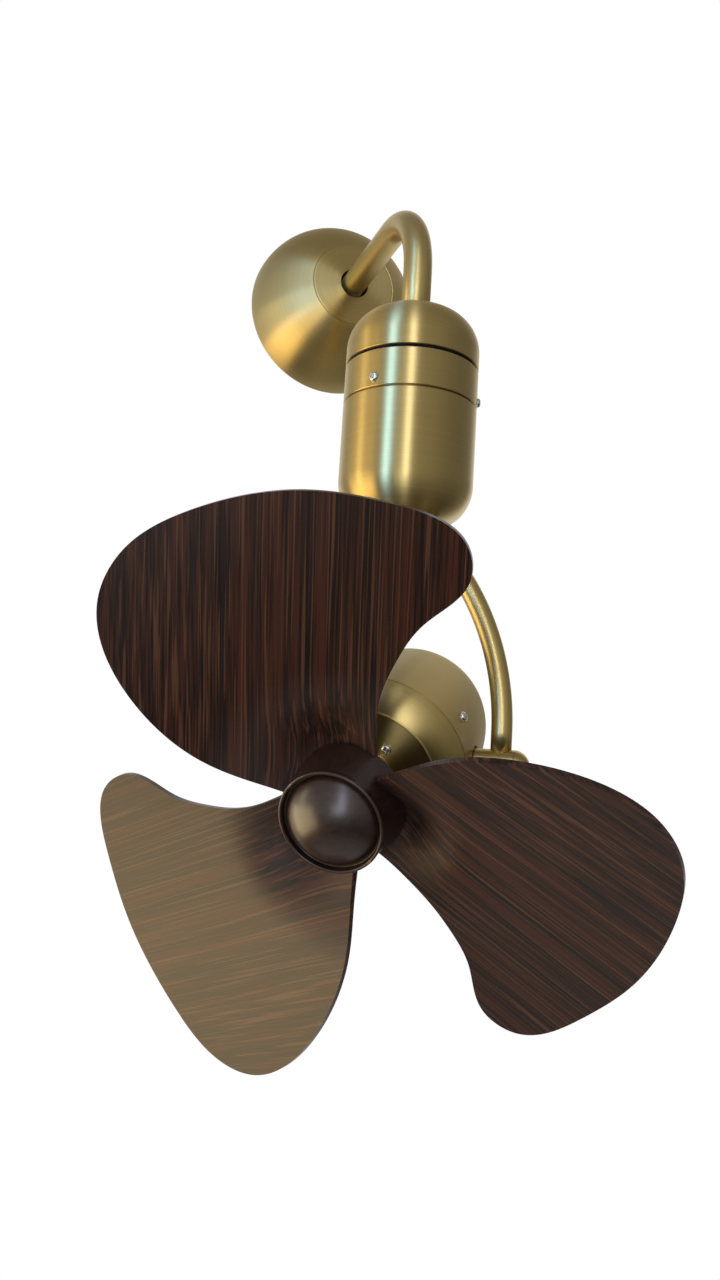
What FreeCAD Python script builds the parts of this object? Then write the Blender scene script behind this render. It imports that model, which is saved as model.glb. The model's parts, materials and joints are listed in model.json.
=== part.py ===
import FreeCAD, Part
import math
import os
import Sketcher
from types import SimpleNamespace

# A wall fan on a gooseneck: a domed canopy on the wall, a bent neck tube, a bullet-shaped swivel barrel, a
# two-armed yoke, and a tilting motor head with three paddle blades.
# The wall is the plane y = 0, +Z is up, +X is to the right of someone who faces the wall, and the origin is
# the middle of the canopy on the wall. The fan stands out from the wall along -Y. Millimetres and degrees.

DIMENSIONS = (
    # wall bracket and canopy
    ("bracket_radius", 58, "round steel plate on the wall"),
    ("bracket_thickness", 4, "its thickness"),
    ("wall_hole_offset", 42, "each wall screw hole from the middle"),
    ("wall_hole_radius", 2.75, "clearance for a 5 mm wall screw"),
    ("collar_radius", 17, "collar that grips the neck tube"),
    ("collar_length", 30, "collar beyond the plate"),
    ("tab_width", 14, "ears that hold the canopy"),
    ("tab_height", 16, "ears, out from the wall"),
    ("tab_gap", 1.2, "ear to the inside of the canopy"),
    ("canopy_radius", 76.5, "spun half ball"),
    ("canopy_wall", 1.5, "its sheet"),
    ("nose_edge_radius", 37.5, "ridge round the canopy's nose"),
    ("nose_rise", 2.5, "shallow cone inside the ridge"),
    ("canopy_hole_gap", 2.1, "dark gap round the neck tube"),
    # neck
    ("neck_reach", 219, "barrel axis from the wall"),
    ("neck_radius", 10.5, "outside of the bent tube"),
    ("neck_wall", 2, "tube wall"),
    ("neck_bend", 60, "bend at the tube's middle line"),
    ("seat_clearance", 0.1, "between fixed round pieces that seat in each other"),
    ("grub_radius", 2, "grub screws"),
    # swivel barrel, upper fixed cap
    ("cap_drop", 88, "top of the cap below the neck's level run"),
    ("cap_height", 48.3, "fixed cap"),
    ("barrel_radius", 48, "outside of cap, ring and shell"),
    ("barrel_wall", 2.2, "their sheet"),
    ("barrel_flat", 18, "flat round at the ends of the bullet"),
    ("boss_radius", 17, "boss inside the cap"),
    ("boss_depth", 32, "boss from the cap's top"),
    ("tube_step", 6, "floor under the end of the neck tube"),
    ("wire_radius", 4, "way for the wires"),
    # spindle and its bearings
    ("flange_thickness", 5, "spindle flange under the boss"),
    ("flange_screw_circle", 13.7, "screws of the flange"),
    ("spindle_radius", 8, "fixed steel spindle"),
    ("journal_radius", 6, "its thin lower end"),
    ("running_clearance", 0.05, "round pieces that turn in each other"),
    ("bearing_wall", 8, "ball bearing, bore to outside"),
    ("bearing_width", 8, "ball bearing"),
    # turning ring, frame and shell
    ("swivel_gap", 2.3, "dark gap between cap and ring"),
    ("ring_height", 27.2, "turning ring"),
    ("ring_lip", 2.6, "its inner lip on the frame"),
    ("lip_radius", 34, "hole in the lip"),
    ("frame_plate", 5, "top plate of the frame"),
    ("frame_skirt", 4, "skirt that takes the ring screws"),
    ("skirt_rise", 1, "skirt above the seam"),
    ("hub_wall", 4, "wall of the frame's bearing hub"),
    ("spigot_height", 14, "shell inside the ring"),
    ("shell_height", 86.2, "lower shell"),
    ("ring_screw_rise", 6.8, "ring screws above the seam"),
    ("ring_screw_turn", 13, "first ring screw from the front of the head"),
    # swing drive
    ("pressure_angle", 20, "slope of the tooth flanks"),
    ("tooth_foot", 1.25, "foot of a tooth, in modules"),
    ("pinion_turn", 90, "pinion round the barrel axis"),
    ("spindle_teeth", 32, "fixed gear"),
    ("pinion_teeth", 20, "gear of the swing motor"),
    ("backlash", 0.24, "play between the teeth"),
    ("gear_gap", 3, "hub to gear"),
    ("gear_width", 6, "fixed gear"),
    ("pinion_inset", 0.5, "pinion shorter than the gear, each side"),
    ("clip_thickness", 1.2, "ring that keeps the gear"),
    ("clip_wall", 3, "its width"),
    ("spindle_tail", 1, "spindle below the clip"),
    ("deck_gap", 1.6, "spindle to deck"),
    ("deck_thickness", 4, "deck that carries the swing motor"),
    ("deck_rise", 40, "deck above the bottom of the shell"),
    ("deck_margin", 2, "deck to the inside of the shell"),
    ("post_inset", 7.5, "posts from the rim of the deck"),
    ("post_turn", 30, "first post round the barrel axis"),
    ("post_radius", 3.5, "posts"),
    ("stud_radius", 2, "thin end of a post"),
    ("nut_height", 3, "nut of a post"),
    ("can_gap", 2.5, "swing motor to the boss under the deck"),
    ("can_margin", 1, "swing motor inside the rim of the deck"),
    ("can_clearance", 5.2, "swing motor above the round end of the shell"),
    ("motor_ear_reach", 8.5, "ears of the swing motor, beyond its can"),
    ("motor_ear_width", 10, "its ears"),
    ("motor_ear_thickness", 2, "its sheet"),
    ("motor_ear_screw", 4.5, "ear screws beyond the can"),
    ("pinion_shaft", 2.5, "shaft of the pinion"),
    ("pinion_depth", 7, "shaft inside the motor"),
    ("shaft_gap", 0.5, "deck to the shaft of the pinion"),
    # yoke
    ("stem_radius", 5, "threaded stem through the shell"),
    ("stem_boss_radius", 9, "boss under the deck"),
    ("stem_boss_depth", 10, "boss under the deck"),
    ("yoke_hub_radius", 22, "boss under the shell"),
    ("yoke_hub_height", 24, "boss under the shell"),
    ("yoke_hub_corner", 12, "its round lower edge"),
    ("stem_depth", 13, "stem inside the boss"),
    ("arm_radius", 7, "round arms"),
    ("arm_offset", 77.5, "arm to barrel axis, at the pivot"),
    ("arm_straight", 23, "straight foot of the arm above the pivot"),
    ("arm_end_offset", 19, "end of the arm from the barrel axis"),
    ("arm_end_drop", 6.5, "end of the arm below the shell, inside the boss"),
    ("arm_seat", 8, "arm's foot above the pivot"),
    # pivot
    ("pivot_drop", 416.5, "pivot below the neck's level run"),
    ("knuckle_radius", 11, "boss round the pivot bolt"),
    ("knuckle_inner", 60.7, "inner face from the barrel axis"),
    ("knuckle_length", 27.3, "boss without its domed cap"),
    ("head_recess", 8, "room for the bolt head"),
    ("recess_radius", 7.5, "room for the bolt head"),
    ("cap_plug", 1.5, "spigot of the domed cap"),
    ("cap_dome", 9, "height of the domed cap"),
    ("pivot_radius", 4, "pivot bolt"),
    ("bolt_head_radius", 6.5, "its head"),
    ("bolt_head_height", 5, "its head"),
    ("bolt_depth", 12, "bolt inside the motor"),
    ("washer_thickness", 1.9, "friction washer"),
    ("washer_radius", 9.5, "friction washer"),
    ("face_clearance", 0.3, "flat faces that turn past each other"),
    ("pivot_boss_radius", 14, "boss inside the motor cover"),
    ("spot_face_radius", 13, "flat for the washer"),
    # motor head, measured along the motor axis from above the pivot
    ("axis_rise", 7.2, "motor axis above the pivot"),
    ("mouth_station", 22.8, "where the rear cover meets the front cover"),
    ("mouth_radius", 61.5, "widest round of the motor"),
    ("dome_radius", 55.8, "round rear end"),
    ("dome_setback", 68, "middle of the round end behind the mouth"),
    ("cover_wall", 2.5, "motor covers"),
    ("shoulder_length", 17.9, "front cover, mouth to face"),
    ("shoulder_curve", 30, "its rounding"),
    ("face_radius", 45.6, "ridge round the front face"),
    ("spigot_length", 28, "front cover inside the rear cover"),
    ("cover_screw_inset", 22, "cover screws behind the mouth"),
    ("cover_screw_turn", 26.4, "first cover screw from the pivot side"),
    ("face_lip", 1.5, "thin ridge round the front plate"),
    ("plate_recess", 1.2, "front plate behind the ridge"),
    ("plate_thickness", 3, "front plate"),
    ("ledge_width", 24, "ledge behind the front plate"),
    ("plate_boss_length", 12, "bearing boss on the front plate"),
    ("plate_screw_circle", 23, "screws of the front plate"),
    ("plate_screw_turn", 53, "first plate screw from the pivot side"),
    ("shaft_radius", 5, "motor shaft"),
    ("shaft_bearing_wall", 6, "shaft bearing, bore to outside"),
    ("shaft_bearing_width", 8, "shaft bearing"),
    ("bearing_boss_wall", 5, "boss round a shaft bearing"),
    ("rear_bearing_setback", 26, "rear bearing behind the middle of the round end"),
    ("stator_radius", 49, "iron of the stator"),
    ("stator_bore", 28, "iron of the stator"),
    ("stator_length", 34, "iron of the stator"),
    ("stator_setback", 62, "middle of the stator behind the mouth"),
    ("land_length", 8.5, "land that holds the stator"),
    ("winding_radius", 7, "round of the copper coil heads"),
    ("winding_circle", 39, "middle of the coil heads"),
    ("air_gap", 0.6, "rotor to stator"),
    # hub and blades
    ("hub_station", 72.2, "back of the hub along the motor axis"),
    ("hub_collar_radius", 11, "collar of the hub round the shaft"),
    ("collar_gap", 1.5, "front bearing to the hub's collar"),
    ("hub_depth", 36.3, "hub, back to front rim"),
    ("hub_back_radius", 33, "flat back of the hub"),
    ("hub_rear_radius", 37.4, "widest round of the hub"),
    ("hub_rear_inset", 4, "widest round from the back"),
    ("hub_waist_radius", 32, "hub behind the front rim"),
    ("rim_depth", 5, "raised front rim"),
    ("rim_radius", 33.4, "raised front rim"),
    ("rim_inner_radius", 31.2, "mouth of the rim"),
    ("rim_recess", 4.5, "front face inside the rim"),
    ("spinner_radius", 29.9, "glossy domed cap"),
    ("spinner_height", 17, "glossy domed cap"),
    ("spinner_wall", 3, "its wall"),
    ("nut_pocket_radius", 15, "room for the hub nut"),
    ("nut_pocket_depth", 12, "room for the hub nut"),
    ("hub_nut_corner", 10, "hub nut, middle to corner"),
    ("hub_nut_height", 8, "hub nut"),
    ("shaft_tail", 3, "shaft in front of the nut"),
    ("shaft_stub", 1, "shaft behind the rear bearing"),
    ("blade_first", 81.85, "first blade from the pivot side"),
    ("blade_rise", 12.9, "pitched face before the hub's back, at the axis"),
    ("blade_thickness", 4, "blade"),
    ("blade_pitch", 14, "slope across the blade"),
    ("blade_bow", 10.5, "rise of the bowed face at the crest"),
    ("blade_wash", -20.9, "drop of the twisted face, at the crest and one blade length out"),
    ("twist_station", 109, "where the pitch is measured"),
    ("seat_out", 32, "where the root settles on the hub's back"),
    ("seat_up", 9, "where the root settles on the hub's back"),
    ("seat_spread", 18.5, "how far the settled root spreads"),
    ("blade_root", 24, "depth of the slots, from the axis"),
    ("slot_clearance", 0.12, "blade in its slot"),
    ("blade_screw_circle", 32, "screws that hold the blades"),
    ("blade_screw_turn", 7, "first screw of a blade from its middle line"),
    ("blade_screw_spread", 17, "second screw of a blade from the first"),
    ("blade_screw_sink", 1, "flat seats of these screws in the back of the blade"),
    ("blade_screw_room", 0.3, "seat round the head of a blade screw"),
    ("field_margin", 10, "curved face beyond the outline of the blade"),
    ("cutter_height", 220, "cutter over the outline of the blade"),
    # blade outline: out along the blade, and up towards its rounded leading edge
    ("trail_root_out", -5.9, "trailing edge inside the hub"),
    ("trail_root_up", -9.8, "trailing edge inside the hub"),
    ("trail_out", 61.4, "trailing edge"),
    ("trail_up", -16.7, "trailing edge"),
    ("waist_out", 98.7, "trailing edge where it turns into the hook"),
    ("waist_up", -27.7, "trailing edge where it turns into the hook"),
    ("hook_neck_out", 120, "trailing hook"),
    ("hook_neck_up", -40.7, "trailing hook"),
    ("hook_out", 149.3, "lowest point of the hook"),
    ("hook_up", -65.7, "lowest point of the hook"),
    ("heel_out", 165.4, "outer side of the hook"),
    ("heel_up", -64.3, "outer side of the hook"),
    ("tip_low_out", 189.4, "outer edge"),
    ("tip_low_up", -15.3, "outer edge"),
    ("tip_out", 192.2, "outer edge"),
    ("tip_up", 32.2, "outer edge"),
    ("tip_high_out", 176.4, "outer edge"),
    ("tip_high_up", 92.3, "outer edge"),
    ("shoulder_out", 157.5, "rounded outer corner"),
    ("shoulder_up", 121.6, "rounded outer corner"),
    ("crest_out", 128.4, "highest point of the leading edge"),
    ("crest_up", 137.4, "highest point of the leading edge"),
    ("lead_out", 67.3, "leading edge"),
    ("lead_up", 120.9, "leading edge"),
    ("lead_low_out", 27.9, "leading edge near the hub"),
    ("lead_low_up", 81.4, "leading edge near the hub"),
    ("lead_root_out", 10.5, "leading edge inside the hub"),
    ("lead_root_up", 44.8, "leading edge inside the hub"),
    # screws
    ("screw_radius", 1.6, "small machine screws"),
    ("screw_head_radius", 3.4, "their pan heads"),
    ("screw_head_height", 2.4, "their pan heads"),
    ("screw_head_edge", 1, "straight side of a pan head"),
    ("screw_grip", 7, "length under the head"),
    ("screw_spare", 0.5, "tip of a screw or stud short of the end of its hole"),
    ("hole_spare", 1, "blind hole deeper than what stands in it"),
    # how the head stands at rest
    ("rest_swing", -40.7, "head turned to the left of straight out"),
    ("rest_tilt", 25.7, "head tipped down"),
)

doc = FreeCAD.newDocument("wall_fan")
sheet = doc.addObject("Spreadsheet::Sheet", "Sizes")
for row, (name, value, meaning) in enumerate(DIMENSIONS, 1):
    sheet.set(f"A{row}", name)
    sheet.set(f"B{row}", str(value))
    sheet.setAlias(f"B{row}", name)
    sheet.set(f"C{row}", meaning)
doc.recompute()


class Size:
    """A length that keeps its number together with the sheet formula it comes from."""

    def __init__(self, formula, number):
        self.formula = formula
        self.number = float(number)

    def join(self, sign, other, number):
        return Size(f"({self.formula} {sign} {other.formula})", number)

    def __add__(self, other):
        other = size(other)
        return self.join("+", other, self.number + other.number)

    def __sub__(self, other):
        other = size(other)
        return self.join("-", other, self.number - other.number)

    def __mul__(self, other):
        other = size(other)
        return self.join("*", other, self.number * other.number)

    def __truediv__(self, other):
        other = size(other)
        return self.join("/", other, self.number / other.number)

    def __neg__(self):
        return size(0) - self

    def __radd__(self, other):
        return size(other) + self

    def __rsub__(self, other):
        return size(other) - self

    def __rmul__(self, other):
        return size(other) * self

    def __float__(self):
        return self.number


def size(item):
    return item if isinstance(item, Size) else Size(repr(float(item)), item)


def root(item):
    return Size(f"sqrt({item.formula})", math.sqrt(item.number))


def leg(hypotenuse, side):
    return root(hypotenuse * hypotenuse - side * side)


d = SimpleNamespace(**{row[0]: Size(f"Sizes.{row[0]}", sheet.get(row[0])) for row in DIMENSIONS})


def vector(x, y, z):
    return FreeCAD.Vector(float(x), float(y), float(z))


def shift(x, y, z):
    return FreeCAD.Placement(vector(x, y, z), FreeCAD.Rotation())


def spin(axis, angle):
    return FreeCAD.Placement(FreeCAD.Vector(), FreeCAD.Rotation(FreeCAD.Vector(*axis), float(angle)))


X_AXIS = (1, 0, 0)
Y_AXIS = (0, 1, 0)
Z_AXIS = (0, 0, 1)

# Frames. On the wall and in the head, local +Z points out of the wall or along the air stream.
OUT = spin(X_AXIS, 90)
BARREL = shift(0, -d.neck_reach, 0) * spin(Z_AXIS, d.rest_swing)
PIVOT = BARREL * shift(0, 0, -d.pivot_drop)
TILTED = PIVOT * OUT * spin(X_AXIS, d.rest_tilt)
HEAD = TILTED * shift(0, d.axis_rise, 0)
ALONG_PIVOT = spin(Y_AXIS, 90)
FRONT = -90
OPPOSITE = 180
SIDES = {"right": FreeCAD.Placement(), "left": spin(Z_AXIS, OPPOSITE)}

nodes = {}


def node(label, piece, place=FreeCAD.Placement()):
    piece.Label = label
    piece.Placement = place
    nodes[label] = piece
    return piece


def sketch_on(body, role, name, lift=0):
    sketch = body.newObject("Sketcher::SketchObject", name)
    plane = [feature for feature in body.Origin.OriginFeatures if feature.Role == role][0]
    sketch.AttachmentSupport = [(plane, "")]
    sketch.MapMode = "FlatFace"
    sketch.AttachmentOffset = shift(0, 0, lift)
    return sketch


def arc_between(start, end, radius, side):
    """Arc of less than a half circle; with side 1, its middle lies to the right of the way to its end."""
    chord = end - start
    right = FreeCAD.Vector(chord.y, -chord.x, 0).normalize()
    rise = math.sqrt(max(radius * radius - chord.Length ** 2 / 4, 0.0))
    centre = (start + end) * 0.5 + right * (side * rise)
    first, last = (end, start) if side > 0 else (start, end)
    angles = [math.atan2(point.y - centre.y, point.x - centre.x) for point in (first, last)]
    if angles[1] < angles[0]:
        angles[1] += 2 * math.pi
    return Part.ArcOfCircle(Part.Circle(centre, FreeCAD.Vector(*Z_AXIS), radius), *angles)


def draw(sketch, corners, closed=True):
    """Outline through corners (x, y), bound to the sheet; (x, y, radius, side) starts an arc."""
    points = [vector(corner[0], corner[1], 0) for corner in corners]
    edge_count = len(corners) if closed else len(corners) - 1
    ends = []
    for index in range(edge_count):
        start, end = points[index], points[(index + 1) % len(points)]
        if len(corners[index]) == 2:
            sketch.addGeometry(Part.LineSegment(start, end), False)
            ends.append((1, 2))
        else:
            radius, side = corners[index][2:]
            sketch.addGeometry(arc_between(start, end, float(radius), side), False)
            ends.append((2, 1) if side > 0 else (1, 2))
    limits = []
    formulas = []

    def limit(constraint, item=None):
        limits.append(constraint)
        formulas.append(item)

    for index in range(edge_count if closed else edge_count - 1):
        after = (index + 1) % edge_count
        limit(Sketcher.Constraint("Coincident", index, ends[index][1], after, ends[after][0]))
    for index, corner in enumerate(corners):
        edge, end = (index, ends[index][0]) if index < edge_count else (index - 1, ends[index - 1][1])
        if float(corner[0]) == 0 and not isinstance(corner[0], Size):
            limit(Sketcher.Constraint("PointOnObject", edge, end, -2))
        else:
            limit(Sketcher.Constraint("DistanceX", -1, 1, edge, end, float(corner[0])), size(corner[0]))
        if float(corner[1]) == 0 and not isinstance(corner[1], Size):
            limit(Sketcher.Constraint("PointOnObject", edge, end, -1))
        else:
            limit(Sketcher.Constraint("DistanceY", -1, 1, edge, end, float(corner[1])), size(corner[1]))
        if len(corner) == 4:
            limit(Sketcher.Constraint("Radius", index, float(corner[2])), size(corner[2]))
    sketch.addConstraint(limits)
    for index, item in enumerate(formulas):
        if item is not None:
            sketch.setExpression(f"Constraints[{index}]", item.formula)
    return sketch


def turned(name, corners):
    """Piece turned about local Z from its half outline (radius, height)."""
    body = doc.addObject("PartDesign::Body", name)
    outline = draw(sketch_on(body, "XZ_Plane", name + "_outline"), corners)
    revolution = body.newObject("PartDesign::Revolution", name + "_turn")
    revolution.Profile = outline
    revolution.ReferenceAxis = (outline, ["V_Axis"])
    revolution.Angle = 360
    return body


def ring(name, inner, outer, low, high):
    return turned(name, [(inner, low), (outer, low), (outer, high), (inner, high)])


def padded(body, name, corners, low, thickness):
    """Flat plate with the given outline added to a body."""
    outline = draw(sketch_on(body, "XY_Plane", name + "_outline", low), corners)
    pad = body.newObject("PartDesign::Pad", name + "_pad")
    pad.Profile = outline
    pad.setExpression("Length", thickness.formula)
    return body


def piped(name, profile_role, profile_lift, profile_middle, radii, spine_role, way):
    """Tube or rod along a way of straight runs and arcs."""
    body = doc.addObject("PartDesign::Body", name)
    spine = draw(sketch_on(body, spine_role, name + "_way"), way, closed=False)
    profile = sketch_on(body, profile_role, name + "_round", profile_lift)
    for index, radius in enumerate(radii):
        profile.addGeometry(Part.Circle(vector(profile_middle, 0, 0), vector(*Z_AXIS), float(radius)), False)
        middle = Sketcher.Constraint("DistanceX", -1, 1, index, 3, float(profile_middle))
        across = profile.addConstraint(middle)
        profile.setExpression(f"Constraints[{across}]", size(profile_middle).formula)
        profile.addConstraint(Sketcher.Constraint("PointOnObject", index, 3, -1))
        wide = profile.addConstraint(Sketcher.Constraint("Radius", index, float(radius)))
        profile.setExpression(f"Constraints[{wide}]", radius.formula)
    doc.recompute()
    pipe = body.newObject("PartDesign::AdditivePipe", name + "_pipe")
    pipe.Profile = profile
    pipe.Spine = (spine, [f"Edge{index + 1}" for index in range(len(way) - 1)])
    return body


def rods(name, radius, length, places):
    """Plain round rods, each starting at the middle of its place and running along its local Z."""
    pieces = []
    for index, place in enumerate(places):
        rod = doc.addObject("Part::Cylinder", f"{name}_{index + 1}")
        rod.setExpression("Radius", size(radius).formula)
        rod.setExpression("Height", size(length).formula)
        rod.Placement = place
        pieces.append(rod)
    if len(pieces) == 1:
        return pieces[0]
    together = doc.addObject("Part::MultiFuse", name)
    together.Shapes = pieces
    return together


def cut(name, base, tool):
    result = doc.addObject("Part::Cut", name)
    result.Base = base
    result.Tool = tool
    return result


def fused(name, pieces):
    result = doc.addObject("Part::MultiFuse", name)
    result.Shapes = pieces
    return result


def drilled(name, base, radius, length, places):
    return cut(name, base, rods(name + "_holes", radius, length, places))


def around(count, first=0.0):
    return [spin(Z_AXIS, float(first) + 360.0 / count * index) for index in range(count)]


def group(label, master, places, place):
    """Like pieces that share one node, each a solid of its own."""
    doc.recompute()
    copies = []
    for where in places:
        copy = master.Shape.copy()
        copy.Placement = where * master.Placement
        copies.append(copy)
    feature = doc.addObject("Part::Feature", label)
    feature.Shape = Part.makeCompound(copies)
    return node(label, feature, place)


def pan_screw(name, length):
    """Screw with its seat at local z = 0, its shank below and its rounded head above."""
    edge = d.screw_head_edge
    crown = d.screw_head_height - edge
    curve = (d.screw_head_radius * d.screw_head_radius + crown * crown) / (2 * crown)
    return turned(name, [(0, -length), (d.screw_radius, -length), (d.screw_radius, 0),
                         (d.screw_head_radius, 0), (d.screw_head_radius, edge, curve, -1),
                         (0, d.screw_head_height)])


def nut(name, corner_radius, height, bore):
    block = doc.addObject("Part::Prism", name + "_block")
    block.Polygon = 6
    block.setExpression("Circumradius", corner_radius.formula)
    block.setExpression("Height", height.formula)
    return drilled(name, block, bore, height, [FreeCAD.Placement()])


# Wall bracket: a round steel plate with a collar for the neck tube and two ears that hold the canopy.
collar_end = d.bracket_thickness + d.collar_length
tube_bore = d.neck_radius + d.seat_clearance
canopy_inside = d.canopy_radius - d.canopy_wall
ear_tip = leg(canopy_inside - d.tab_gap, root(d.tab_height * d.tab_height + d.tab_width * d.tab_width / 4))
bracket = turned("bracket", [(d.wire_radius, 0), (d.bracket_radius, 0),
                             (d.bracket_radius, d.bracket_thickness),
                             (d.collar_radius, d.bracket_thickness), (d.collar_radius, collar_end),
                             (tube_bore, collar_end), (tube_bore, d.bracket_thickness),
                             (d.wire_radius, d.bracket_thickness)])
ear_root = d.bracket_radius - d.tab_width / 2
half_ear = d.tab_width / 2
for side in (1, -1):
    padded(bracket, "ear_right" if side > 0 else "ear_left",
           [(side * ear_root, -half_ear), (side * ear_tip, -half_ear),
            (side * ear_tip, half_ear), (side * ear_root, half_ear)], 0, d.tab_height)
bracket_grub_station = d.bracket_thickness + d.collar_length / 2
canopy_screw_station = d.tab_height / 2
canopy_screw_seat = leg(d.canopy_radius, canopy_screw_station - d.screw_head_radius)
bracket = drilled("bracket_bored", bracket, d.wall_hole_radius, d.bracket_thickness,
                  [shift(side * d.wall_hole_offset, 0, 0) for side in (1, -1)])
bracket = drilled("bracket_tapped", bracket, d.grub_radius + d.seat_clearance, d.collar_radius,
                  [shift(0, 0, bracket_grub_station) * spin(X_AXIS, -90)])
bracket = drilled("bracket_threaded", bracket, d.screw_radius + d.seat_clearance, d.canopy_radius,
                  [shift(ear_root - d.hole_spare, 0, canopy_screw_station) * ALONG_PIVOT])
node("wall_bracket", bracket, OUT)

grub_length = d.collar_radius - d.neck_radius
bracket_grub = rods("collar_grub", d.grub_radius, grub_length, [FreeCAD.Placement()])
node("collar_grub_screw", bracket_grub,
     OUT * shift(0, d.neck_radius, bracket_grub_station) * spin(X_AXIS, -90))

# Canopy: a spun brass half ball with a ridge and a shallow cone round the neck's hole.
nose_depth = leg(d.canopy_radius, d.nose_edge_radius)
nose_depth_inside = leg(canopy_inside, d.nose_edge_radius)
canopy_hole = d.neck_radius + d.canopy_hole_gap
canopy = turned("canopy", [(d.canopy_radius, 0, d.canopy_radius, -1), (d.nose_edge_radius, nose_depth),
                           (canopy_hole, nose_depth + d.nose_rise),
                           (canopy_hole, nose_depth_inside + d.nose_rise),
                           (d.nose_edge_radius, nose_depth_inside, canopy_inside, 1), (canopy_inside, 0)])
canopy = drilled("canopy_bored", canopy, d.screw_radius + d.seat_clearance, d.canopy_radius,
                 [shift(d.bracket_radius, 0, canopy_screw_station) * ALONG_PIVOT])
node("wall_canopy", canopy, OUT)
node("canopy_screw", pan_screw("canopy_screw_blank", d.screw_grip),
     OUT * shift(canopy_screw_seat, 0, canopy_screw_station) * ALONG_PIVOT)

# Levels of the barrel, down from the neck's level run.
cap_top = -d.cap_drop
cap_bottom = cap_top - d.cap_height
boss_bottom = cap_top - d.boss_depth
tube_end = boss_bottom + d.tube_step
ring_top = cap_bottom - d.swivel_gap
ring_bottom = ring_top - d.ring_height
frame_top = ring_top - d.ring_lip
frame_under = frame_top - d.frame_plate
shell_bottom = ring_bottom - d.shell_height
deck_bottom = shell_bottom + d.deck_rise
deck_top = deck_bottom + d.deck_thickness
spindle_end = deck_top + d.deck_gap
clip_bottom = spindle_end + d.spindle_tail
gear_bottom = clip_bottom + d.clip_thickness
gear_top = gear_bottom + d.gear_width
hub_bottom = gear_top + d.gear_gap

# Neck: brass tube, level out of the collar, bent down once, and seated in the cap's boss.
bend_start = d.neck_reach - d.neck_bend
neck = piped("neck", "XZ_Plane", d.bracket_thickness, size(0), (d.neck_radius, d.neck_radius - d.neck_wall),
             "YZ_Plane", [(-d.bracket_thickness, 0), (-bend_start, 0, d.neck_bend, -1),
                          (-d.neck_reach, -d.neck_bend), (-d.neck_reach, tube_end)])
node("neck_tube", neck)

# Fixed cap: the round top of the bullet, with a boss inside for the end of the neck tube.
inner_radius = d.barrel_radius - d.barrel_wall
barrel_corner = d.barrel_radius - d.barrel_flat
inner_corner = barrel_corner - d.barrel_wall
cap = turned("cap", [(tube_bore, cap_top), (d.barrel_flat, cap_top, barrel_corner, 1),
                     (d.barrel_radius, cap_top - barrel_corner), (d.barrel_radius, cap_bottom),
                     (inner_radius, cap_bottom), (inner_radius, cap_top - barrel_corner, inner_corner, -1),
                     (d.barrel_flat, cap_top - d.barrel_wall), (d.boss_radius, cap_top - d.barrel_wall),
                     (d.boss_radius, boss_bottom), (d.wire_radius, boss_bottom), (d.wire_radius, tube_end),
                     (tube_bore, tube_end)])
flange_places = [turn * shift(d.flange_screw_circle, 0, 0) for turn in around(3)]
thread_depth = d.tube_step - d.hole_spare
cap = drilled("cap_tapped", cap, d.screw_radius + d.seat_clearance, thread_depth,
              [shift(0, 0, boss_bottom) * place for place in flange_places])
cap_grub_level = (cap_top + tube_end) / 2
cap = drilled("cap_grub_tapped", cap, d.grub_radius + d.seat_clearance, d.boss_radius,
              [shift(0, 0, cap_grub_level) * spin(X_AXIS, -90)])
node("swivel_cap", cap, BARREL)
node("cap_grub_screw", rods("cap_grub", d.grub_radius, d.boss_radius - d.neck_radius, [FreeCAD.Placement()]),
     BARREL * shift(0, d.neck_radius, cap_grub_level) * spin(X_AXIS, -90))

# Spindle: the fixed steel axle that the barrel turns on, screwed up into the cap's boss.
flange_bottom = boss_bottom - d.flange_thickness
spindle = turned("spindle", [(d.wire_radius, boss_bottom), (d.boss_radius, boss_bottom),
                             (d.boss_radius, flange_bottom), (d.spindle_radius, flange_bottom),
                             (d.spindle_radius, gear_top), (d.journal_radius, gear_top),
                             (d.journal_radius, spindle_end), (d.wire_radius, spindle_end)])
spindle = drilled("spindle_bored", spindle, d.screw_radius + d.seat_clearance, d.flange_thickness,
                  [shift(0, 0, flange_bottom) * place for place in flange_places])
node("swivel_spindle", spindle, BARREL)
flange_screw = pan_screw("flange_screw", d.flange_thickness + thread_depth - d.screw_spare)
group("flange_screws", flange_screw,
      [shift(0, 0, flange_bottom) * place * spin(X_AXIS, OPPOSITE) for place in flange_places], BARREL)

# Ball bearings of the swivel, seated in the frame and running on the spindle.
bearing_bore = d.spindle_radius + d.running_clearance
bearing_seat = d.spindle_radius + d.bearing_wall
bearing_outer = bearing_seat - d.seat_clearance
upper_bearing = ring("upper_bearing", bearing_bore, bearing_outer, frame_top - d.bearing_width, frame_top)
node("upper_bearing", upper_bearing, BARREL)
lower_bearing = ring("lower_bearing", bearing_bore, bearing_outer, hub_bottom, hub_bottom + d.bearing_width)
node("lower_bearing", lower_bearing, BARREL)

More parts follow.
